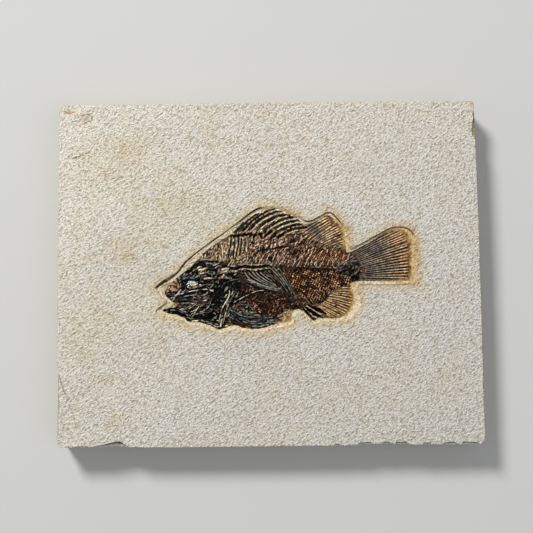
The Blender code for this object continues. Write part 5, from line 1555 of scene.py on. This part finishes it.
# Lights: name, direction from the slab, distance, size, power and colour
LIGHTS = (("key", (-0.55, 0.75, 0.80), 2.5, 0.65, 58.6, (1.0, 0.985, 0.96)),
          ("fill", (0.6, -0.3, 1.0), 3.2, 3.2, 18.0, (0.96, 0.98, 1.0)))
ROOM_COLOUR, ROOM_BRIGHTNESS = (0.94, 0.96, 1.0, 1.0), 0.31
FLOOR_REACH = 3


def make_floor():
    """A wide pale sheet for the slab to lie on."""
    mesh = bpy.data.meshes.new("floor")
    corners = [(-1, -1), (1, -1), (1, 1), (-1, 1)]
    mesh.from_pydata([(x * FLOOR_REACH, y * FLOOR_REACH, 0) for x, y in corners], [], [(0, 1, 2, 3)])
    floor = bpy.data.objects.new("floor", mesh)
    bpy.context.scene.collection.objects.link(floor)
    paper = Nodes("floor_paper")
    paper.shader.inputs["Base Color"].default_value = (*shade(206, 206, 204), 1.0)
    paper.shader.inputs["Roughness"].default_value = 0.9
    paper.wire(paper.bumped(paper.noise(0.0015), 0.0001, 0.2), paper.shader.inputs["Normal"])
    mesh.materials.append(paper.material)
    return floor


def add_area_light(name, direction, distance, size, power, colour):
    """An area light that faces the slab's middle from a direction."""
    lamp = bpy.data.lights.new(name, "AREA")
    lamp.shape = "DISK"
    lamp.size = size
    lamp.energy = power
    lamp.color = colour
    item = bpy.data.objects.new(name, lamp)
    towards = Vector(direction).normalized()
    item.location = towards * distance
    item.rotation_euler = towards.to_track_quat("Z", "Y").to_euler()
    bpy.context.scene.collection.objects.link(item)


def add_camera():
    """A camera almost straight above the slab, 0.56 m away, turned and tipped a little."""
    lens = bpy.data.cameras.new("camera")
    lens.sensor_width = 36.0
    lens.lens = lens.sensor_width * FOCAL_PIXELS / FRAME_PIXELS
    lens.clip_start = 0.01
    item = bpy.data.objects.new("camera", lens)
    view = Matrix.Rotation(math.radians(CAMERA_TURN), 3, "Z") @ Matrix.Rotation(math.radians(CAMERA_TIP),
                                                                                3, "X")
    item.matrix_world = Matrix.Translation(CAMERA_PLACE) @ view.transposed().to_4x4()
    bpy.context.scene.collection.objects.link(item)
    bpy.context.scene.camera = item


limestone, fossil_bone = make_limestone(), make_fossil_bone()
slab = make_slab()
slab.data.materials.append(limestone)
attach(slab, "root")
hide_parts("limestone_slab")
for fish in make_fish():
    fish.data.materials.append(fossil_bone)
    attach(fish, "root")
    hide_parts("fossil_fish")

make_floor()
add_camera()
for light in LIGHTS:
    add_area_light(*light)
world = bpy.data.worlds.new("room")
world.use_nodes = True
world.node_tree.nodes["Background"].inputs["Color"].default_value = ROOM_COLOUR
world.node_tree.nodes["Background"].inputs["Strength"].default_value = ROOM_BRIGHTNESS
bpy.context.scene.world = world
bpy.context.scene.view_settings.view_transform = "Standard"
